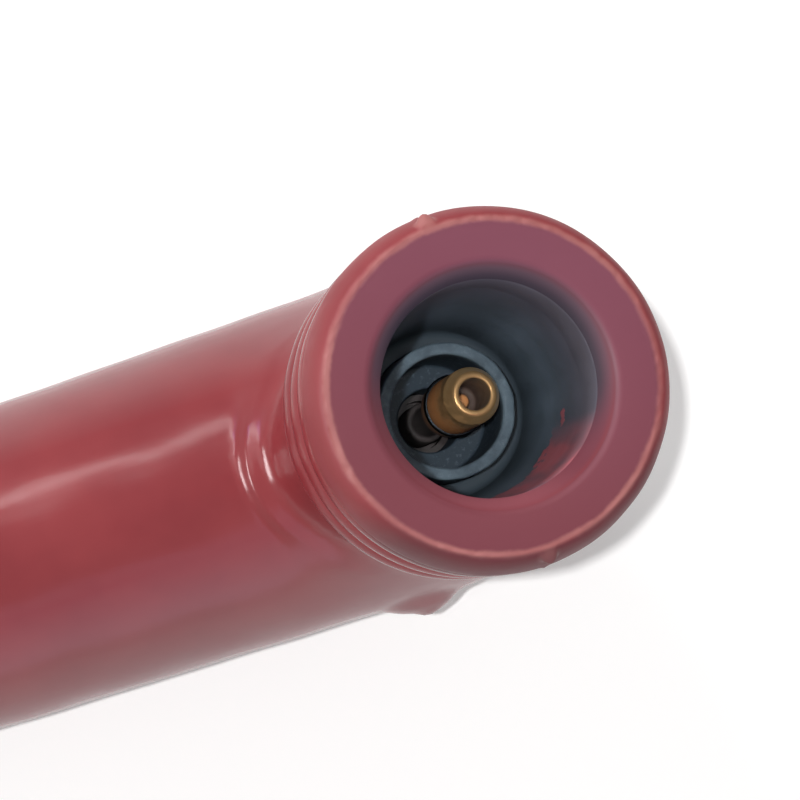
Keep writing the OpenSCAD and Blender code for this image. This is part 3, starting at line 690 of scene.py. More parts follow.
class CoilRearLooks(bpy.types.PropertyGroup):
    """Clamp strap and rear connector."""
    nylon: colour_prop("Cap", "Colour of the black rear cap", "#17181a")
    zinc: colour_prop("Zinc", "Colour of the strap's zinc plating", "#b9bbb8")
    edge_round: number_prop("Edge round", "Radius of the rear edges", 0.0003, 0.0001, 0.0006, "LENGTH")


class CoilStudioLooks(bpy.types.PropertyGroup):
    """Floor, lamps, world and camera."""
    sky: number_prop("Sky", "Strength of the world's light", 0.35, high=2.0)
    lift: number_prop("Floor glow", "White added to the floor where it is seen", 0.225)
    key: power_prop("Key lamp", "key lamp", 1.8)
    upper: power_prop("Upper lamp", "broad lamp over the key", 1.3)
    back: power_prop("Back lamp", "low lamp behind the arm", 3.2)
    side: power_prop("Side lamp", "broad side lamp", 3.5)
    blue: power_prop("Blue lamp", "small bluish lamp", 0.45)
    rear: power_prop("Rear lamp", "lamp over the arm's end", 7.0)
    front: power_prop("Front lamp", "lamp beside the camera", 10.0)
    mouth: power_prop("Mouth lamp", "narrow lamp into the mouth", 10.5)
    lens: number_prop("Lens", "Focal length in millimetres", 213.75, 20.0, 400.0)
    place: vector_prop("Camera place", "Where the camera stands", (-0.06966, -0.01238, 0.43843), "XYZ")
    aim: vector_prop("Camera aim", "What the camera looks at", (-0.00738, 0.00130, 0.06383), "XYZ")
    up: vector_prop("Camera up", "Upright in the picture", (0.30568, 0.94830, 0.08541), "DIRECTION")


LOOKS = {"coil_housing": CoilHousingLooks, "coil_mouth": CoilMouthLooks, "coil_rear": CoilRearLooks,
         "coil_studio": CoilStudioLooks}


# ---- Housing -------------------------------------------------------------------

def collar_section():
    """Closed (r, z) section of the collar: face, flare, rings, seam and bores."""
    face_bead = [(12.95, 65.0, 0.3), (13.2, 65.06, 0.1), (13.55, 65.0, 0.14)]
    flare = [(13.5 + 1.5 * math.sin(a), WIDEST_Z + 4.5 * math.cos(a), 0)
             for a in np.radians(np.linspace(8, 90, 15))]
    flare[-1] = (15.0, WIDEST_Z, 0.35)
    outer = face_bead + flare + [(14.2, 59.75, 0.3), (13.55, 59.55, 0.25)]
    # Three grip rings, each the crest of a round of radius 2
    for crest_r, crest_z in ((14.9, 57.4), (14.75, 51.4), (14.6, 45.4)):
        centre_r = crest_r - 2.0
        foot = math.degrees(math.acos((GROOVE_R - centre_r) / 2.0))
        for a in np.linspace(foot, -foot, 13):
            fillet = 0.25 if abs(abs(a) - foot) < 1e-6 else 0
            a = math.radians(a)
            outer.append((centre_r + 2.0 * math.cos(a), crest_z + 2.0 * math.sin(a), fillet))
    lip = [(THROAT_R, THROAT_Z - 0.15, 0.1), (THROAT_R, THROAT_Z + 0.05, 0.3), (MOUTH_R, MOUTH_Z, 0.8)]
    inner = [(GROOVE_R, SEAM_Z, 0), (LINER_BORE_R, SEAM_Z, 0), (LINER_BORE_R, THROAT_Z - 0.15, 0)] + lip
    return fillet_path(outer + inner, 4)


def collar_mesh(context):
    """Spins the collar, then raises its flash and lets its face and edges run uneven. Returns
    the mesh and the places of its two nubs."""
    looks = context.scene.coil_housing
    mesh = mesh_of(spun(collar_section(), 384), "collar")
    carrier = BVHTree.FromPolygons([v.co for v in mesh.vertices], [f.vertices[:] for f in mesh.polygons])
    nubs = [place_in_view(context, carrier, name) for name in ("flash_nub_low", "flash_nub_high")]
    p = coordinates(mesh)
    r = np.hypot(p[:, 0], p[:, 1])
    azimuth = np.arctan2(p[:, 1], p[:, 0])
    outside = np.clip((r - 12.6) / 0.5, 0, 1)
    way = p[:, :2] / r[:, None]
    push = np.zeros(len(p))
    for place in nubs:
        off = (azimuth - math.atan2(place.y, place.x) + math.pi) % math.tau - math.pi
        ridge = np.exp(-(off * r / 0.25) ** 2)
        nub = np.exp(-(off * r / 0.65) ** 4) * np.exp(-((p[:, 2] - 64.6) / 0.6) ** 2)
        push += outside * (0.10 * ridge + looks.nub_height / MM * nub)
    edge = np.exp(-(np.hypot(r - 13.5, p[:, 2] - 64.95) / 0.35) ** 2)
    push += edge * (0.07 * waves(p, 1.6, 3) + 0.05 * waves(p, 5.0, 4))
    p[:, :2] += way * push[:, None]
    # The face may sink below the CAD part's face but not rise above it
    p[:, 2] -= edge * np.clip(0.10 * waves(p, 1.1, 5) + 0.03, 0, 0.2)
    skin = outside * 0.03 * waves(p, 7.0, 6) * (p[:, 2] > SEAM_Z + 1)
    p[:, :2] += way * skin[:, None]
    rim = np.exp(-(np.hypot(r - MOUTH_R, p[:, 2] - MOUTH_Z) / 0.5) ** 2)
    p[:, :2] += way * (rim * 0.025 * waves(p, 4.0, 7))[:, None]
    p[:, 2] = np.minimum(p[:, 2], MOUTH_Z)
    set_coordinates(mesh, p)
    return mesh, nubs


def smooth_min(a, b, k):
    """Union of two distances whose corner is filled over about k."""
    h = np.clip(0.5 + 0.5 * (b - a) / k, 0, 1)
    return b + (a - b) * h - k * h * (1 - h)


def smooth_max(a, b, k):
    """Overlap of two distances whose edge is rounded over about k."""
    return -smooth_min(-a, -b, k)


def body_distance(p):
    """Signed distance from the housing's skin below the seam, with its moulded blends."""
    x, y, z = p[:, 0], p[:, 1], p[:, 2]
    slope = (ARM_R - ARM_END_R) / ARM_LENGTH
    across = np.hypot(y, z - ARM_Z)
    elbow = np.sqrt(x ** 2 + y ** 2 + (z - ARM_Z) ** 2) - ARM_R
    arm = np.where(x > 0, elbow, (across - (ARM_R + slope * x)) * math.cos(math.atan(slope)))
    # Neck, with the cove that steps out to the grooves
    rho = np.hypot(x, y)
    lift = np.clip((z - 39.4) / 4.0, 0, 1)
    neck_r = GROOVE_R - (GROOVE_R - NECK_R) * np.sqrt(np.clip(1 - lift ** 2, 0, 1))
    neck = smooth_max(rho - neck_r, ARM_Z - z, 0.5)
    # Trumpet skirt, sheared so that it follows the arm's round back
    drop = ARM_R - np.sqrt(np.maximum(ARM_R ** 2 - np.minimum(np.abs(y), 12.0) ** 2, 0))
    lie = z + 0.92 * drop
    side = np.hypot(x - SKIRT_X, y)
    rise = np.clip((SKIRT_TOP_Z - lie) / 8.9, 0, 1)
    skirt_r = 8.7 - 3.5 * np.sqrt(np.clip(1 - rise ** 2, 0, 1))
    skirt = smooth_max((side - skirt_r) * 0.75, lie - SKIRT_TOP_Z, 0.4)
    # Its rim, a bead on a low step, stands proud on top of the arm and melts into its sides
    melt = np.clip((np.abs(y) - 4.5) / 6.0, 0, 1)
    melt = melt * melt * (3 - 2 * melt)
    step = smooth_max(side - 9.4, lie - 29.5 + 0.9 * melt, 0.6)
    bead = np.hypot(side - 8.6, lie - 28.95 + 0.9 * melt) - 1.2
    trumpet = smooth_min(skirt, smooth_min(step, bead, 0.3), 0.8)
    upper = smooth_min(neck, trumpet, 2.2)
    skin = smooth_min(arm, upper, 0.5 + 3.0 * melt)
    # Gate lug, a stub with a slanting end, and the broken tip of its sprue
    half = 3.65 + 0.16 * (x - LUG[0])
    stub = smooth_max(np.hypot(x - LUG[0], z - LUG[2]) - LUG_R, np.abs(y - LUG[1]) - half, 2.0)
    tip = np.linalg.norm(p - (-2.9, -15.3, 15.2), axis=1) - 0.85
    skin = smooth_min(skin, smooth_min(stub, tip, 0.8), 1.8)
    return skin - 0.035 * waves(p, 8.0, 11)


def onto_skin(p, distance, rounds=6):
    """Moves places along the distance's slope until they lie on its zero surface."""
    step = 0.02
    for _ in range(rounds):
        here = distance(p)
        slope = np.stack([(distance(p + way) - distance(p - way)) / (2 * step)
                          for way in np.eye(3) * step], axis=1)
        size = np.maximum((slope ** 2).sum(axis=1), 0.2)
        p = p - np.clip(here / size, -0.6, 0.6)[:, None] * slope
    return p


def rough_body():
    """Overlapping closed forms of the elbow, arm, neck, skirt and lug, in one bmesh."""
    bm = bmesh.new()
    bmesh.ops.create_uvsphere(bm, u_segments=64, v_segments=32, radius=ARM_R,
                              matrix=Matrix.Translation((0, 0, ARM_Z)))
    arm = ARM_LENGTH + 1.2
    for segments, low_r, high_r, length, place in (
            (96, ARM_R, ARM_END_R - 0.03, arm, ALONG_ARM @ Matrix.Translation((0, 0, arm / 2))),
            (96, NECK_R, NECK_R, 28.5, Matrix.Translation((0, 0, ARM_Z + 14.25))),
            (96, NECK_R, GROOVE_R, 4.5, Matrix.Translation((0, 0, SEAM_Z - 1.25))),
            (64, 9.5, 9.5, 15.0, Matrix.Translation((SKIRT_X, 0, ARM_Z + 7.5))),
            (64, 8.5, 5.3, 8.5, Matrix.Translation((SKIRT_X, 0, 34.0))),
            (48, LUG_R, LUG_R, 7.6, Matrix.Translation(LUG) @ ACROSS_ARM)):
        bmesh.ops.create_cone(bm, cap_ends=True, segments=segments, radius1=low_r, radius2=high_r,
                              depth=length, matrix=place)
    return bm


def parting_flash():
    """Thin plate in the mould's parting plane, whose edge is the flash on neck and elbow."""
    proud = 0.13
    around_elbow = ARM_R + proud
    low = [(around_elbow * math.cos(a), ARM_Z + around_elbow * math.sin(a))
           for a in np.linspace(-math.pi, 0, 73)]
    low = [(y, z) for y, z in low if z > 1.5]
    neck = NECK_R + proud
    outline = low + [(neck + 0.4, 26.5), (neck, 30.0), (neck, 39.5), (neck + 0.35, 41.5), (neck + 0.9, 42.9)]
    outline += [(-y, z) for y, z in reversed(outline[-5:])]
    return piece_of(prism([(-1.12, y, z) for y, z in outline], (0.24, 0, 0)), "parting_flash", None)


class COIL_OT_housing(bpy.types.Operator):
    """Builds the red moulded housing: collar, neck, elbow and arm with their bores"""
    bl_idname = "coil.housing"
    bl_label = "Housing"

    def execute(self, context):
        looks = context.scene.coil_housing
        shaped, nubs = collar_mesh(context)
        red = moulded_red_thermoset(looks, nubs)
        body = piece_of(rough_body(), "housing", red)
        remesh = body.modifiers.new("remesh", "REMESH")
        remesh.mode = "VOXEL"
        remesh.voxel_size = looks.grain
        applied(body)
        set_coordinates(body.data, onto_skin(coordinates(body.data), body_distance))
        boolean(body, block_cutter((-99, -20, -3), (-ARM_LENGTH, 20, 33)))
        foot = [(0, 0.0), (6.8, 0.0), (7.0, 0.2), (7.05, 4.0), (0, 4.0)]
        boolean(body, cutter(spun(foot, 128, closed=False)), "UNION")
        boolean(body, parting_flash(), "UNION")
        boolean(body, block_cutter((-20, -20, SEAM_Z), (20, 20, 50)))
        boolean(body, piece_from(shaped, "collar", red), "UNION")
        # The coil's chamber, the seats of liner and tower, the high-voltage contact's bore and the
        # hole of the cap's pins
        chamber = [(0, 14), (10.1, 14), (10.5, 14.4), (10.5, 90), (0, 90)]
        boolean(body, cutter(spun(chamber, 192, closed=False), ALONG_ARM))
        bore(body, LINER_BORE_R, LINER_LOW_Z, SEAM_Z + 1)
        bore(body, TOWER_BORE_R, 11.75, LINER_LOW_Z + 1, 96)
        bore(body, HT_BORE_R, -1, 15, 64, ALONG_ARM)
        bore(body, PIN_R, -20, 20, 32, PINS)
        body.data.shade_smooth()
        dress(body, red, 40)
        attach(body, "root")
        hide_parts("housing_shell")
        return {"FINISHED"}


# ---- Mouth: liner, tower and contact -------------------------------------------

class COIL_OT_mouth_liner(bpy.types.Operator):
    """Builds the black rubber liner that grips the plug"""
    bl_idname = "coil.mouth_liner"
    bl_label = "Mouth liner"

    def execute(self, context):
        looks = context.scene.coil_mouth
        wall = [(10.0, 33.05, 0.4), (10.0, 62.5, 0.2), (8.85, 62.65, 0.15), (8.85, 56.0, 1.5),
                (7.3, 35.5, 0.8), (TOWER_BORE_R, 35.5, 0.2), (TOWER_BORE_R, 33.05, 0.2)]
        mesh = mesh_of(spun(fillet_path(wall, 5), 256), "rubber_liner")
        p = coordinates(mesh)
        r = np.hypot(p[:, 0], p[:, 1])
        inside = (r < 9.3) & (p[:, 2] > 36) & (p[:, 2] < 62)
        p[inside, :2] *= (1 + 0.006 * waves(p[inside], 3.0, 21))[:, None]
        set_coordinates(mesh, p)
        piece = piece_from(mesh, "rubber_liner", None)
        carrier = BVHTree.FromObject(piece, context.evaluated_depsgraph_get())
        patches = [(place_in_view(context, carrier, name), size)
                   for name, size in (("smear_patch", 1.0), ("smear_patch_upper", 0.8))]
        piece.data.materials.append(smeared_rubber(looks, patches))
        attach(piece, "root")
        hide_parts("mouth_liner")
        return {"FINISHED"}


class COIL_OT_tower(bpy.types.Operator):
    """Builds the insulator tower whose rim shows deep in the mouth"""
    bl_idname = "coil.tower"
    bl_label = "Insulator tower"

    def execute(self, context):
        looks = context.scene.coil_mouth
        wall = [(0, 11.8, 0), (5.875, 11.8, 0.2), (5.875, TOWER_TOP_Z, 0.22), (4.85, TOWER_TOP_Z, 0.28),
                (4.85, 31.0, 0.3), (2.8, 31.0, 0.2), (2.8, 12.75, 0), (0, 12.75, 0)]
        mesh = mesh_of(spun(fillet_path(wall, 5), 192, closed=False), "tower")
        p = coordinates(mesh)
        rim = np.exp(-((p[:, 2] - TOWER_TOP_Z) / 0.35) ** 2)
        p[:, 2] -= rim * np.clip(0.08 * waves(p, 1.3, 31) + 0.05 * waves(p, 4.0, 32), 0, 0.25)
        p[:, :2] *= (1 + rim * 0.008 * waves(p, 1.7, 33))[:, None]
        set_coordinates(mesh, p)
        piece = piece_from(mesh, "tower", moulded_grey_nylon(looks))
        bore(piece, HT_BORE_R, 0, 8, 64, ALONG_ARM)
        piece.data.set_sharp_from_angle(angle=math.radians(40))
        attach(piece, "root")
        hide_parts("insulator_tower")
        return {"FINISHED"}


class COIL_OT_contact(bpy.types.Operator):
    """Builds the rocking brass ferrule, its wire clip and the spring under the plunger"""
    bl_idname = "coil.contact"
    bl_label = "Plug contact"

    def execute(self, context):
        brass = turned_brass(context.scene.coil_mouth)
        end = FERRULE_TOP
        start = end - 8.5
        # Section of the ferrule: cup and stem, grooved barrel, tapered nose, hole and rivet head
        wall = [(0, 1.3, 0), (1.3, 0.15, 0), (1.35, -0.9, 0), (1.8, -0.9, 0.1), (1.8, 2.25, 0.3),
                (1.3, 2.25, 0.3)]
        wall += [(1.3, start, 0.3), (2.5, start, 0.25), (2.5, start + 1.72, 0.05), (2.22, start + 1.85, 0.1),
                 (2.22, start + 2.15, 0.1), (2.5, start + 2.28, 0.05)]
        wall += [(2.5, end - 1.15, 0.4), (1.9, end - 0.02, 0.35), (1.38, end - 0.02, 0.18)]
        wall += [(1.35, end - 4.4, 0.3), (0.75, end - 4.45, 0.1), (0.6, end - 3.95, 0.25), (0, end - 3.8, 0)]
        bm = spun(fillet_path(wall, 5), 128, closed=False)
        bmesh.ops.transform(bm, matrix=LEANING, verts=bm.verts)
        ferrule = piece_of(bm, "brass_ferrule", brass, 40)
        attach(ferrule, "ferrule")
        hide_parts("contact_ferrule")
        # Open ring of wire in the ferrule's groove
        steel = plain_metal("drawn_spring_steel", "#33383d", "#4c5257", 0.3, (1, 1, 1), 0.35, 0.5)
        bm = coiled_wire(0.25, 2.5, start + 2, 0, 320, 72, 20, start_deg=20)
        bmesh.ops.transform(bm, matrix=LEANING, verts=bm.verts)
        clip = piece_of(bm, "wire_clip", steel, 40)
        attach(clip, "ferrule")
        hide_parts("ferrule_clip")
        # Four turns of wire from the stud up to the plunger
        low, high = 17.45, 21.5
        bm = coiled_wire(0.25, 2.25, low, high - low, 4 * 360, 4 * 40, 16)
        spring = piece_of(bm, "contact_coil", steel, 60)
        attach(spring, "root")
        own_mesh(spring)
        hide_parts("contact_spring")
        return {"FINISHED"}


# ---- Clamp strap and rear connector --------------------------------------------

def bevelled(bm, width, segments=3, angle_deg=40):
    """Rounds every edge sharper than the given angle."""
    bmesh.ops.remove_doubles(bm, verts=bm.verts, dist=1e-4)
    bmesh.ops.recalc_face_normals(bm, faces=bm.faces)
    edges = [e for e in bm.edges if len(e.link_faces) == 2 and e.calc_face_angle() > math.radians(angle_deg)]
    bmesh.ops.bevel(bm, geom=edges, offset=width, offset_type="OFFSET", segments=segments, profile=0.5,
                    affect="EDGES", material=-1, clamp_overlap=True)


def tube(low, high, corner_r, segments):
    """bmesh of a block along the arm whose four long edges are round."""
    bm = bmesh.new()
    box(bm, low, high)
    corners = [e for e in bm.edges if abs(e.verts[0].co.x - e.verts[1].co.x) > 1]
    bmesh.ops.bevel(bm, geom=corners, offset=corner_r, offset_type="OFFSET", segments=segments,
                    profile=0.5, affect="EDGES", material=-1)
    return bm


class COIL_OT_clamp_strap(bpy.types.Operator):
    """Builds the bent steel strap and the rubber sleeve under it"""
    bl_idname = "coil.clamp_strap"
    bl_label = "Clamp strap"

    def execute(self, context):
        looks = context.scene.coil_rear
        rubber = moulded_black_rubber(context.scene.coil_mouth)
        zinc = plain_metal("zinc_plated_steel", looks.zinc, "#d3d1c4", 0.5, (1, 0.25, 1), 0.3, 0.45, 0.02)
        # Section of the strap: two feet, a bend on each side and the arch over the arm
        inner, outer = STRAP_BORE_R + 0.05, STRAP_BORE_R + 2.05
        foot = BOLT_Y + 3.3 + 4
        arch = [(outer * math.cos(a), outer * math.sin(a)) for a in np.linspace(0, math.pi, 49)]
        under = [(inner * math.cos(a), inner * math.sin(a)) for a in np.linspace(math.pi, 0, 49)]
        bend = [(outer + 1.5 - 1.5 * math.cos(a), -13 + 1.5 - 1.5 * math.sin(a))
                for a in np.linspace(math.pi / 2, 0, 8)]
        right = [(foot, -15), (foot, -13)] + bend
        left = [(-y, z) for y, z in reversed(right)]
        outline = [(inner, -15)] + right + arch + left + [(-inner, -15)] + under
        bm = prism([(STRAP_X - 7, y, ARM_Z + z) for y, z in outline], (14, 0, 0))
        bevelled(bm, looks.edge_round / MM, 3, 50)
        strap = piece_of(bm, "strap", zinc)
        # Bolt holes with broken edges
        path = [(0, -1), (3.6, -1), (3.6, 0.0), (3.3, 0.3), (3.3, 1.7), (3.6, 2.0), (3.6, 3), (0, 3)]
        for side in (-1, 1):
            hole = cutter(spun(path, 64, closed=False), Matrix.Translation((STRAP_X, side * BOLT_Y, 0)))
            boolean(strap, hole)
        dress(strap, zinc, 30)
        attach(strap, "root")
        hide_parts("clamp_strap")
        # Rubber sleeve: a beaded section spun about the arm but for its slit
        bm = bmesh.new()
        inner, outer = STRAP_BORE_R - 1.28, STRAP_BORE_R
        wall = [(inner, 56.0, 0.2), (outer, 56.0, 0.5), (outer, 72.0, 0.5), (inner, 72.0, 0.2)]
        face = bm.faces.new([bm.verts.new((r, 0, x)) for r, x in fillet_path(wall, 4)])
        gap = math.asin(1.0 / (STRAP_BORE_R - 0.6))
        bmesh.ops.rotate(bm, cent=(0, 0, 0), matrix=Matrix.Rotation(gap, 3, "Z"), verts=bm.verts)
        bmesh.ops.spin(bm, geom=[face] + face.edges[:] + face.verts[:], cent=(0, 0, 0), axis=(0, 0, 1),
                       dvec=(0, 0, 0), angle=math.tau - 2 * gap, steps=144, use_merge=False,
                       use_duplicate=False)
        bmesh.ops.transform(bm, matrix=ALONG_ARM @ Matrix.Rotation(math.pi, 4, "Z"), verts=bm.verts)
        sleeve = piece_of(bm, "strap_sleeve", rubber)
        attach(sleeve, "root")
        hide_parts("strap_rubber")
        return {"FINISHED"}


class COIL_OT_rear_cap(bpy.types.Operator):
    """Builds the black rear cap with its connector shroud, and the two blades in it"""
    bl_idname = "coil.rear_cap"
    bl_label = "Rear cap and connector"

    def execute(self, context):
        looks = context.scene.coil_rear
        edge = looks.edge_round / MM
        nylon = plain_plastic("moulded_black_nylon", looks.nylon, "#222427", 5.0, 0.42, 0.58, 0.35, 0.03)
        # Plug with the groove of its sealing ring, and the flange that closes the arm
        plug = [(0, 82.0), (10.0, 82.0), (10.45, 82.5), (10.45, 82.98), (8.65, 82.98), (8.65, 84.88),
                (10.45, 84.88)]
        flange = [(10.45, 88.05), (12.2, 88.05), (12.5, 88.35), (12.5, 88.9), (12.3, 90.6), (11.9, 91.0),
                  (0, 91.0)]
        bm = spun(plug + flange, 192, closed=False)
        bmesh.ops.transform(bm, matrix=ALONG_ARM, verts=bm.verts)
        cap = piece_of(bm, "connector_cap", nylon)
        bm = tube((-104, -11.1, ARM_Z - 6.8), (-90, 11.1, ARM_Z + 6.8), 1.6, 6)
        bevelled(bm, edge, 3, 60)
        boolean(cap, piece_of(bm, "shroud", nylon), "UNION")
        # Two thin ribs that stiffen each long side of the shroud
        bm = bmesh.new()
        for z, reach in ((ARM_Z - 6.6, 6.0), (ARM_Z + 6.6, 8.0)):
            for y in (-reach, reach):
                box(bm, (-102.5, y - 0.5, z - 0.7), (-89, y + 0.5, z + 0.7))
        bevelled(bm, 0.2, 2)
        boolean(cap, piece_of(bm, "ribs", nylon), "UNION")
        # The nose that a plug's latch snaps over
        nose = ((0, -0.4), (4.5, -0.4), (4.5, 1.6), (3.7, 1.6), (0, 0))
        bm = prism([(-102 + a, -3, ARM_Z + 6.79 + b) for a, b in nose], (0, 6, 0))
        bevelled(bm, 0.2, 2)
        boolean(cap, piece_of(bm, "nose", nylon), "UNION")
        # The socket, and the slots that the blades pass through
        bm = tube((-106, -9.5, ARM_Z - 5.2), (-91, 9.5, ARM_Z + 5.2), 0.8, 4)
        boolean(cap, piece_of(bm, "socket", nylon))
        bm = bmesh.new()
        for y in (-BLADE_Y, BLADE_Y):
            box(bm, (-92, y - 3.2, ARM_Z - 0.45), (-80, y + 3.2, ARM_Z + 0.45))
        boolean(cap, piece_of(bm, "slots", nylon))
        for low, high in ((-8.45, -14), (8.45, 14)):
            bore(cap, PIN_R, low, high, 32, PINS)
        cap.data.shade_smooth()
        dress(cap, nylon, 30)
        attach(cap, "root")
        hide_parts("rear_cap")
        tin = plain_metal("tinned_brass", "#b8ae93", "#d8d2bf", 0.4, (0.3, 1, 1), 0.22, 0.38)
        for name, y in (("primary_blade", BLADE_Y), ("ground_blade", -BLADE_Y)):
            outline = [(-80.6, y - 3.15), (-80.6, y + 3.15), (-101.0, y + 3.15), (-102.5, y + 2.1),
                       (-102.5, y - 2.1), (-101.0, y - 3.15)]
            bm = prism([(x, v, ARM_Z - 0.4) for x, v in outline], (0, 0, 0.8))
            bevelled(bm, 0.12, 2)
            blade = piece_of(bm, name + "_tab", tin, 30)
            # Detent hole that a female terminal's dimple drops into
            bore(blade, 0.9, 13, 17, 32, Matrix.Translation((-98.2, y, 0)))
            dress(blade, tin, 30)
            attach(blade, "root")
            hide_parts(name)
        return {"FINISHED"}


# ---- Inner parts ---------------------------------------------------------------

class COIL_OT_inner_parts(bpy.types.Operator):
    """Gives the CAD parts that stay inside the housing their real finishes"""
    bl_idname = "coil.inner_parts"
    bl_label = "Inner parts"

    def execute(self, context):
        brass = bpy.data.materials["turned_brass"]
        rubber = bpy.data.materials["moulded_black_rubber"]
        steel = plain_metal("rolled_silicon_steel", "#5d6063", "#8a8d90", 0.3, (0.1, 1, 1), 0.35, 0.5)
        nickel = plain_metal("nickel_plated_magnet", "#8c8a84", "#b3b1aa", 0.8, (1, 1, 1), 0.2, 0.35)
        pin_steel = plain_metal("ground_steel_pin", "#9a9c9e", "#c6c8c9", 0.2, (1, 0.2, 1), 0.18, 0.3)
        bobbin = plain_plastic("moulded_ivory_polyester", "#d8d3bf", "#c9c3ac", 6.0, 0.4, 0.55)
        resin = plain_plastic("cast_epoxy_resin", "#3a2418", "#4d3020", 8.0, 0.12, 0.25, 1.5)
        ceramic = plain_plastic("fired_steatite", "#e4dfd0", "#d5cfbd", 3.0, 0.55, 0.7, 0.15)
        fine_wire = wound_copper_wire("wound_fine_copper_wire", 0.25)
        thick_wire = wound_copper_wire("wound_thick_copper_wire", 0.6)
        finishes = {
            brass: ("contact_plunger plunger_bush contact_stud resistor_front_cap resistor_rear_cap "
                    "ht_contact"),
            ceramic: "resistor_rod",
            steel: "core_laminations shield_sleeve",
            nickel: "front_magnet rear_magnet",
            rubber: "front_cushion rear_cushion cap_seal",
            bobbin: "secondary_bobbin primary_bobbin",
            fine_wire: "secondary_winding",
            thick_wire: "primary_winding primary_lead ground_lead",
            resin: "potting_resin",
            pin_steel: "cap_pins"}
        for material, nodes in finishes.items():
            for node in nodes.split():
                mesh = frame["nodes"][node].data
                mesh.materials.clear()
                mesh.materials.append(material)
        return {"FINISHED"}


# ---- Studio --------------------------------------------------------------------

# Middle of the object, in metres
MIDDLE = Vector((-0.02, 0, 0.03))


def aimed(light, place, target=MIDDLE):
    """Links a light at a place, facing its target."""
    stand = linked(light.name, light)
    stand.location = place
    stand.rotation_euler = (Vector(target) - Vector(place)).to_track_quat("-Z", "Y").to_euler()
    return stand


def lamp(name, power, size, place, colour="#ffffff"):
    """Rectangular area lamp, size (across, up) in metres, that faces the object's middle."""
    light = bpy.data.lights.new(name, "AREA")
    light.shape = "RECTANGLE"
    light.size, light.size_y = size
    light.energy = power
    light.color = linear(colour)[:3]
    return aimed(light, place)


def around(azimuth_deg, elevation_deg, distance_m):
    """Place at a distance and in a direction from the object's middle."""
    a, e = math.radians(azimuth_deg), math.radians(elevation_deg)
    return MIDDLE + distance_m * Vector((math.cos(e) * math.cos(a), math.cos(e) * math.sin(a), math.sin(e)))


def straight_or_mirrored(add):
    """1 for rays that come from the camera, also mirrored or through glass, and 0 for others."""
    path = add("LightPath").outputs
    mirrored = add("Math", [path["Is Glossy Ray"], path["Is Transmission Ray"]], "MAXIMUM")
    return add("Math", [path["Is Camera Ray"], mirrored], "MAXIMUM")


class COIL_OT_camera(bpy.types.Operator):
    """Sets up the camera at the photograph's viewing angle"""
    bl_idname = "coil.camera"
    bl_label = "Camera"

    def execute(self, context):
        looks = context.scene.coil_studio
        camera = bpy.data.cameras.new("camera")
        camera.lens = looks.lens
        camera.sensor_width = 36.0
        camera.sensor_fit = "AUTO"
        camera.clip_start, camera.clip_end = 0.01, 20.0
        stand = linked("camera", camera)
        back = (Vector(looks.place) - Vector(looks.aim)).normalized()
        right = Vector(looks.up).cross(back).normalized()
        turn = Matrix((right, back.cross(right), back)).transposed().to_4x4()
        stand.matrix_world = Matrix.Translation(looks.place) @ turn
        context.scene.camera = stand
        context.view_layer.update()
        return {"FINISHED"}


class COIL_OT_studio(bpy.types.Operator):
    """Sets up the pale floor, the lamps and the world"""
    bl_idname = "coil.studio"
    bl_label = "Studio"

    def execute(self, context):
        looks = context.scene.coil_studio
        scene = context.scene
        bm = bmesh.new()
        bmesh.ops.create_grid(bm, x_segments=8, y_segments=8, size=3.0)
        floor = linked("floor", bpy.data.meshes.new("floor"))
        bm.to_mesh(floor.data)
        bm.free()
        # White card: the lamps light it nearly white, and a little glow where it is seen or
        # mirrored makes it fully so, while the object's shadow stays
        material, add, shader, at = new_material("white_card")
        fibre = add("TexNoise", [at, 1 / 0.6, 3.0, 0.6])
        colour = add("Mix", [fibre, "#e6e6e5", "#e9e9e9"])
        fill(shader, {"Base Color": colour, "Roughness": 0.9, "Specular IOR Level": 0.0})
        strength = add("Math", [straight_or_mirrored(add), looks.lift])
        glow = add("Emission", {"Color": (1, 1, 1, 1), "Strength": strength})
        both = add("AddShader", [shader, glow])
        fill(material.node_tree.nodes["Material Output"], {"Surface": both})
        floor.data.materials.append(material)
        world = bpy.data.worlds.new("studio")
        world.use_nodes = True
        world.node_tree.nodes.clear()
        add = partial(add_node, world.node_tree)
        strength = add("Mix", [straight_or_mirrored(add), looks.sky, 1.0], "FLOAT")
        sky = add("Background", {"Color": (1, 1, 1, 1), "Strength": strength})
        add("OutputWorld", {"Surface": sky})
        scene.world = world
        # These are only mirrored, as the white surroundings are: they would fill the shadow
        for stand in (lamp("key_lamp", looks.key, (0.5, 0.10), around(103.2, 46, 0.8)),
                      lamp("upper_lamp", looks.upper, (0.6, 0.3), around(125, 56, 0.8)),
                      lamp("side_lamp", looks.side, (1.0, 0.9), around(-86, 33, 0.9), colour="#d3d6ff"),
                      lamp("blue_lamp", looks.blue, (0.1, 0.1), around(116, 38, 0.8), colour="#b4afff"),
                      lamp("rear_lamp", looks.rear, (0.4, 0.2), around(169, 27, 0.7))):
            stand.visible_diffuse = False
        # Low behind the arm: it lights the arm's far side and hardly the floor
        lamp("back_lamp", looks.back, (0.4, 0.3), around(115, 18, 0.8)).visible_glossy = False
        # Beside and behind the camera: it lights the mouth and throws the soft shadow, and is
        # kept out of the reflections, where the camera itself would hide it
        front = lamp("front_lamp", looks.front, (0.02, 0.02), (-0.262, 0.012, 1.2116))
        front.visible_glossy = False
        # A snooted lamp that shines down into the mouth only
        snoot = bpy.data.lights.new("mouth_lamp", "SPOT")
        snoot.energy = looks.mouth
        # As wide as the mouth, which is 1160 mm away
        snoot.spot_size = 2 * math.atan(10.5 / 1160)
        snoot.spot_blend = 0.4
        snoot.shadow_soft_size = 0.01
        aimed(snoot, (-0.104, 0.012, 1.2), (-0.001, 0, 0.055))
        scene.view_settings.view_transform = "Standard"
        return {"FINISHED"}


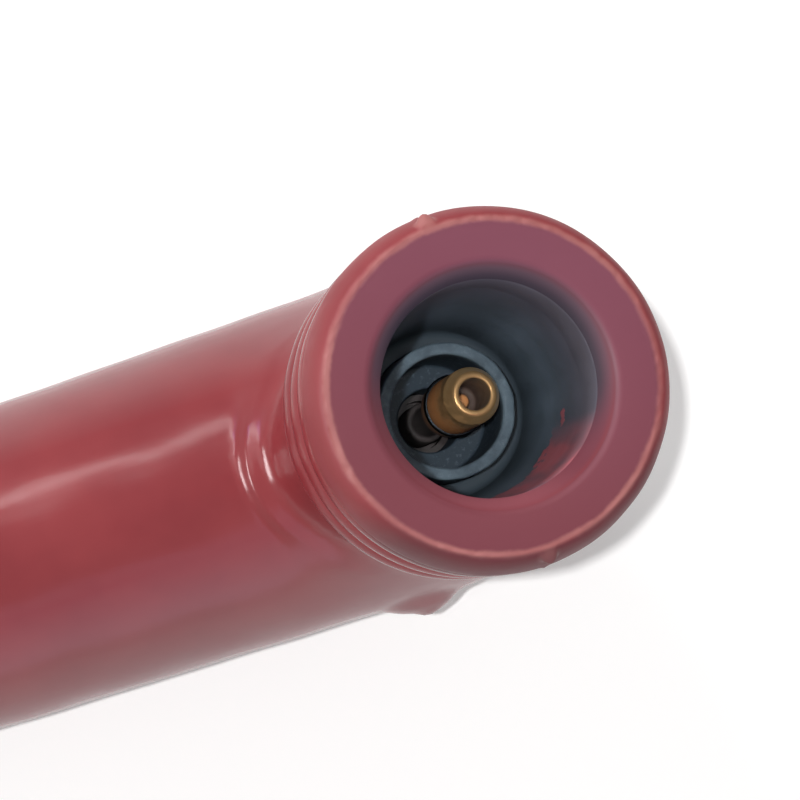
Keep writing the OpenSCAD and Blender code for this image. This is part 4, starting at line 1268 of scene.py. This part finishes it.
# ---- How the pieces show ---------------------------------------------------------

def offsets_shown(context):
    """How far in x and y, in pixels, each named thing shows from its image point, by the
    finished vertices that show."""
    start = context.scene.camera.matrix_world.translation
    places, faces = [], []
    for piece in context.scene.objects:
        if piece.type == "MESH" and not piece.hide_render and piece.name != "floor":
            faces += [[len(places) + i for i in face.vertices] for face in piece.data.polygons]
            places += [v.co.copy() for v in piece.data.vertices]
    sight = BVHTree.FromPolygons(places, faces)

    def showing(name, where):
        p = coordinates(bpy.data.objects[name].data)
        p = p[where(p, np.hypot(p[:, 0], p[:, 1]))] * MM
        px = image_of(context, p)
        kept = []
        for i in np.flatnonzero(((px >= 0) & (px <= IMAGE)).all(axis=1)):
            way = Vector(p[i]) - start
            met = sight.ray_cast(start, way)[3]
            if met is None or met > way.length - 0.2 * MM:
                kept.append(i)
        return px[kept]

    def middle(px):
        return (px.min(axis=0) + px.max(axis=0)) / 2

    def edge(px, axis, sign, near=None, reach=2.5):
        if near is not None:
            px = px[np.abs(px[:, 1 - axis] - IMAGE_POINTS[near][1 - axis]) < reach]
        best = (px[:, axis] * sign).max()
        return px[px[:, axis] * sign > best - 0.4].mean(axis=0)

    body = showing("housing", lambda p, r: r > 0)
    mouth = showing("housing", lambda p, r: (np.abs(r - MOUTH_R) < 0.3) & (p[:, 2] > MOUTH_Z - 0.25))
    rim = showing("housing", lambda p, r: (np.abs(np.hypot(p[:, 0] - SKIRT_X, p[:, 1]) - 9.6) < 0.4)
                  & (p[:, 2] > 29.3) & (p[:, 0] < -8))

    def past_flare(p):
        """How far the flare below the face reaches at each height, and a little more."""
        return 13.75 + 1.5 * np.sqrt(np.clip(1 - ((p[:, 2] - WIDEST_Z) / 4.5) ** 2, 0, 1))

    nub = {side: showing("housing",
                         lambda p, r: (p[:, 2] > 63.5) & (p[:, 1] * side > 0) & (r > past_flare(p)))
           for side in (-1, 1)}
    hole = np.array(LEANING @ Vector((0, 0, FERRULE_TOP)))
    found = {
        "object_right": edge(body, 0, 1), "object_top": edge(body, 1, -1),
        "object_bottom_at_collar": edge(body, 1, 1, "object_bottom_at_collar"),
        "mouth_centre": middle(mouth), "mouth_left": edge(mouth, 0, -1), "mouth_right": edge(mouth, 0, 1),
        "tower_centre": middle(showing("tower", lambda p, r: p[:, 2] > TOWER_TOP_Z - 0.5)),
        "contact_hole": middle(showing("brass_ferrule",
                                       lambda p, r: np.linalg.norm(p - hole, axis=1) < 1.55)),
        "skirt_ridge": edge(rim, 0, -1, "skirt_ridge"),
        "gate_lug": edge(body, 1, 1, "gate_lug"),
        "arm_top_at_left": edge(body, 1, -1, "arm_top_at_left"),
        "arm_top_at_collar": edge(body, 1, -1, "arm_top_at_collar"),
        "flash_nub_low": middle(nub[-1]), "flash_nub_high": middle(nub[1])}
    return {name: [round(float(a - b), 1) for a, b in zip(place, IMAGE_POINTS[name])]
            for name, place in found.items()}


# ---- Panel, registration and run -------------------------------------------------

STEPS = ("camera", "housing", "mouth_liner", "tower", "contact", "clamp_strap", "rear_cap", "inner_parts",
         "studio")


class COIL_PT_panel(bpy.types.Panel):
    """Lists the coil's pieces and their sizes and colours"""
    bl_idname = "COIL_PT_panel"
    bl_label = "Ignition coil"
    bl_space_type = "VIEW_3D"
    bl_region_type = "UI"
    bl_category = "Ignition coil"

    def draw(self, context):
        for name in STEPS:
            self.layout.operator("coil." + name)
        for group, kind in LOOKS.items():
            column = self.layout.column(align=True)
            for key in kind.__annotations__:
                column.prop(getattr(context.scene, group), key)


CLASSES = tuple(LOOKS.values()) + (
    COIL_OT_camera, COIL_OT_housing, COIL_OT_mouth_liner, COIL_OT_tower, COIL_OT_contact, COIL_OT_clamp_strap,
    COIL_OT_rear_cap, COIL_OT_inner_parts, COIL_OT_studio, COIL_PT_panel)


def register():
    for kind in CLASSES:
        bpy.utils.register_class(kind)
    for group, kind in LOOKS.items():
        setattr(bpy.types.Scene, group, bpy.props.PointerProperty(type=kind))


def unregister():
    for group in LOOKS:
        delattr(bpy.types.Scene, group)
    for kind in reversed(CLASSES):
        bpy.utils.unregister_class(kind)


def main():
    register()
    for name in STEPS:
        getattr(bpy.ops.coil, name)()
    bpy.context.view_layer.update()
    offsets_shown(bpy.context)


if __name__ == "__main__":
    main()
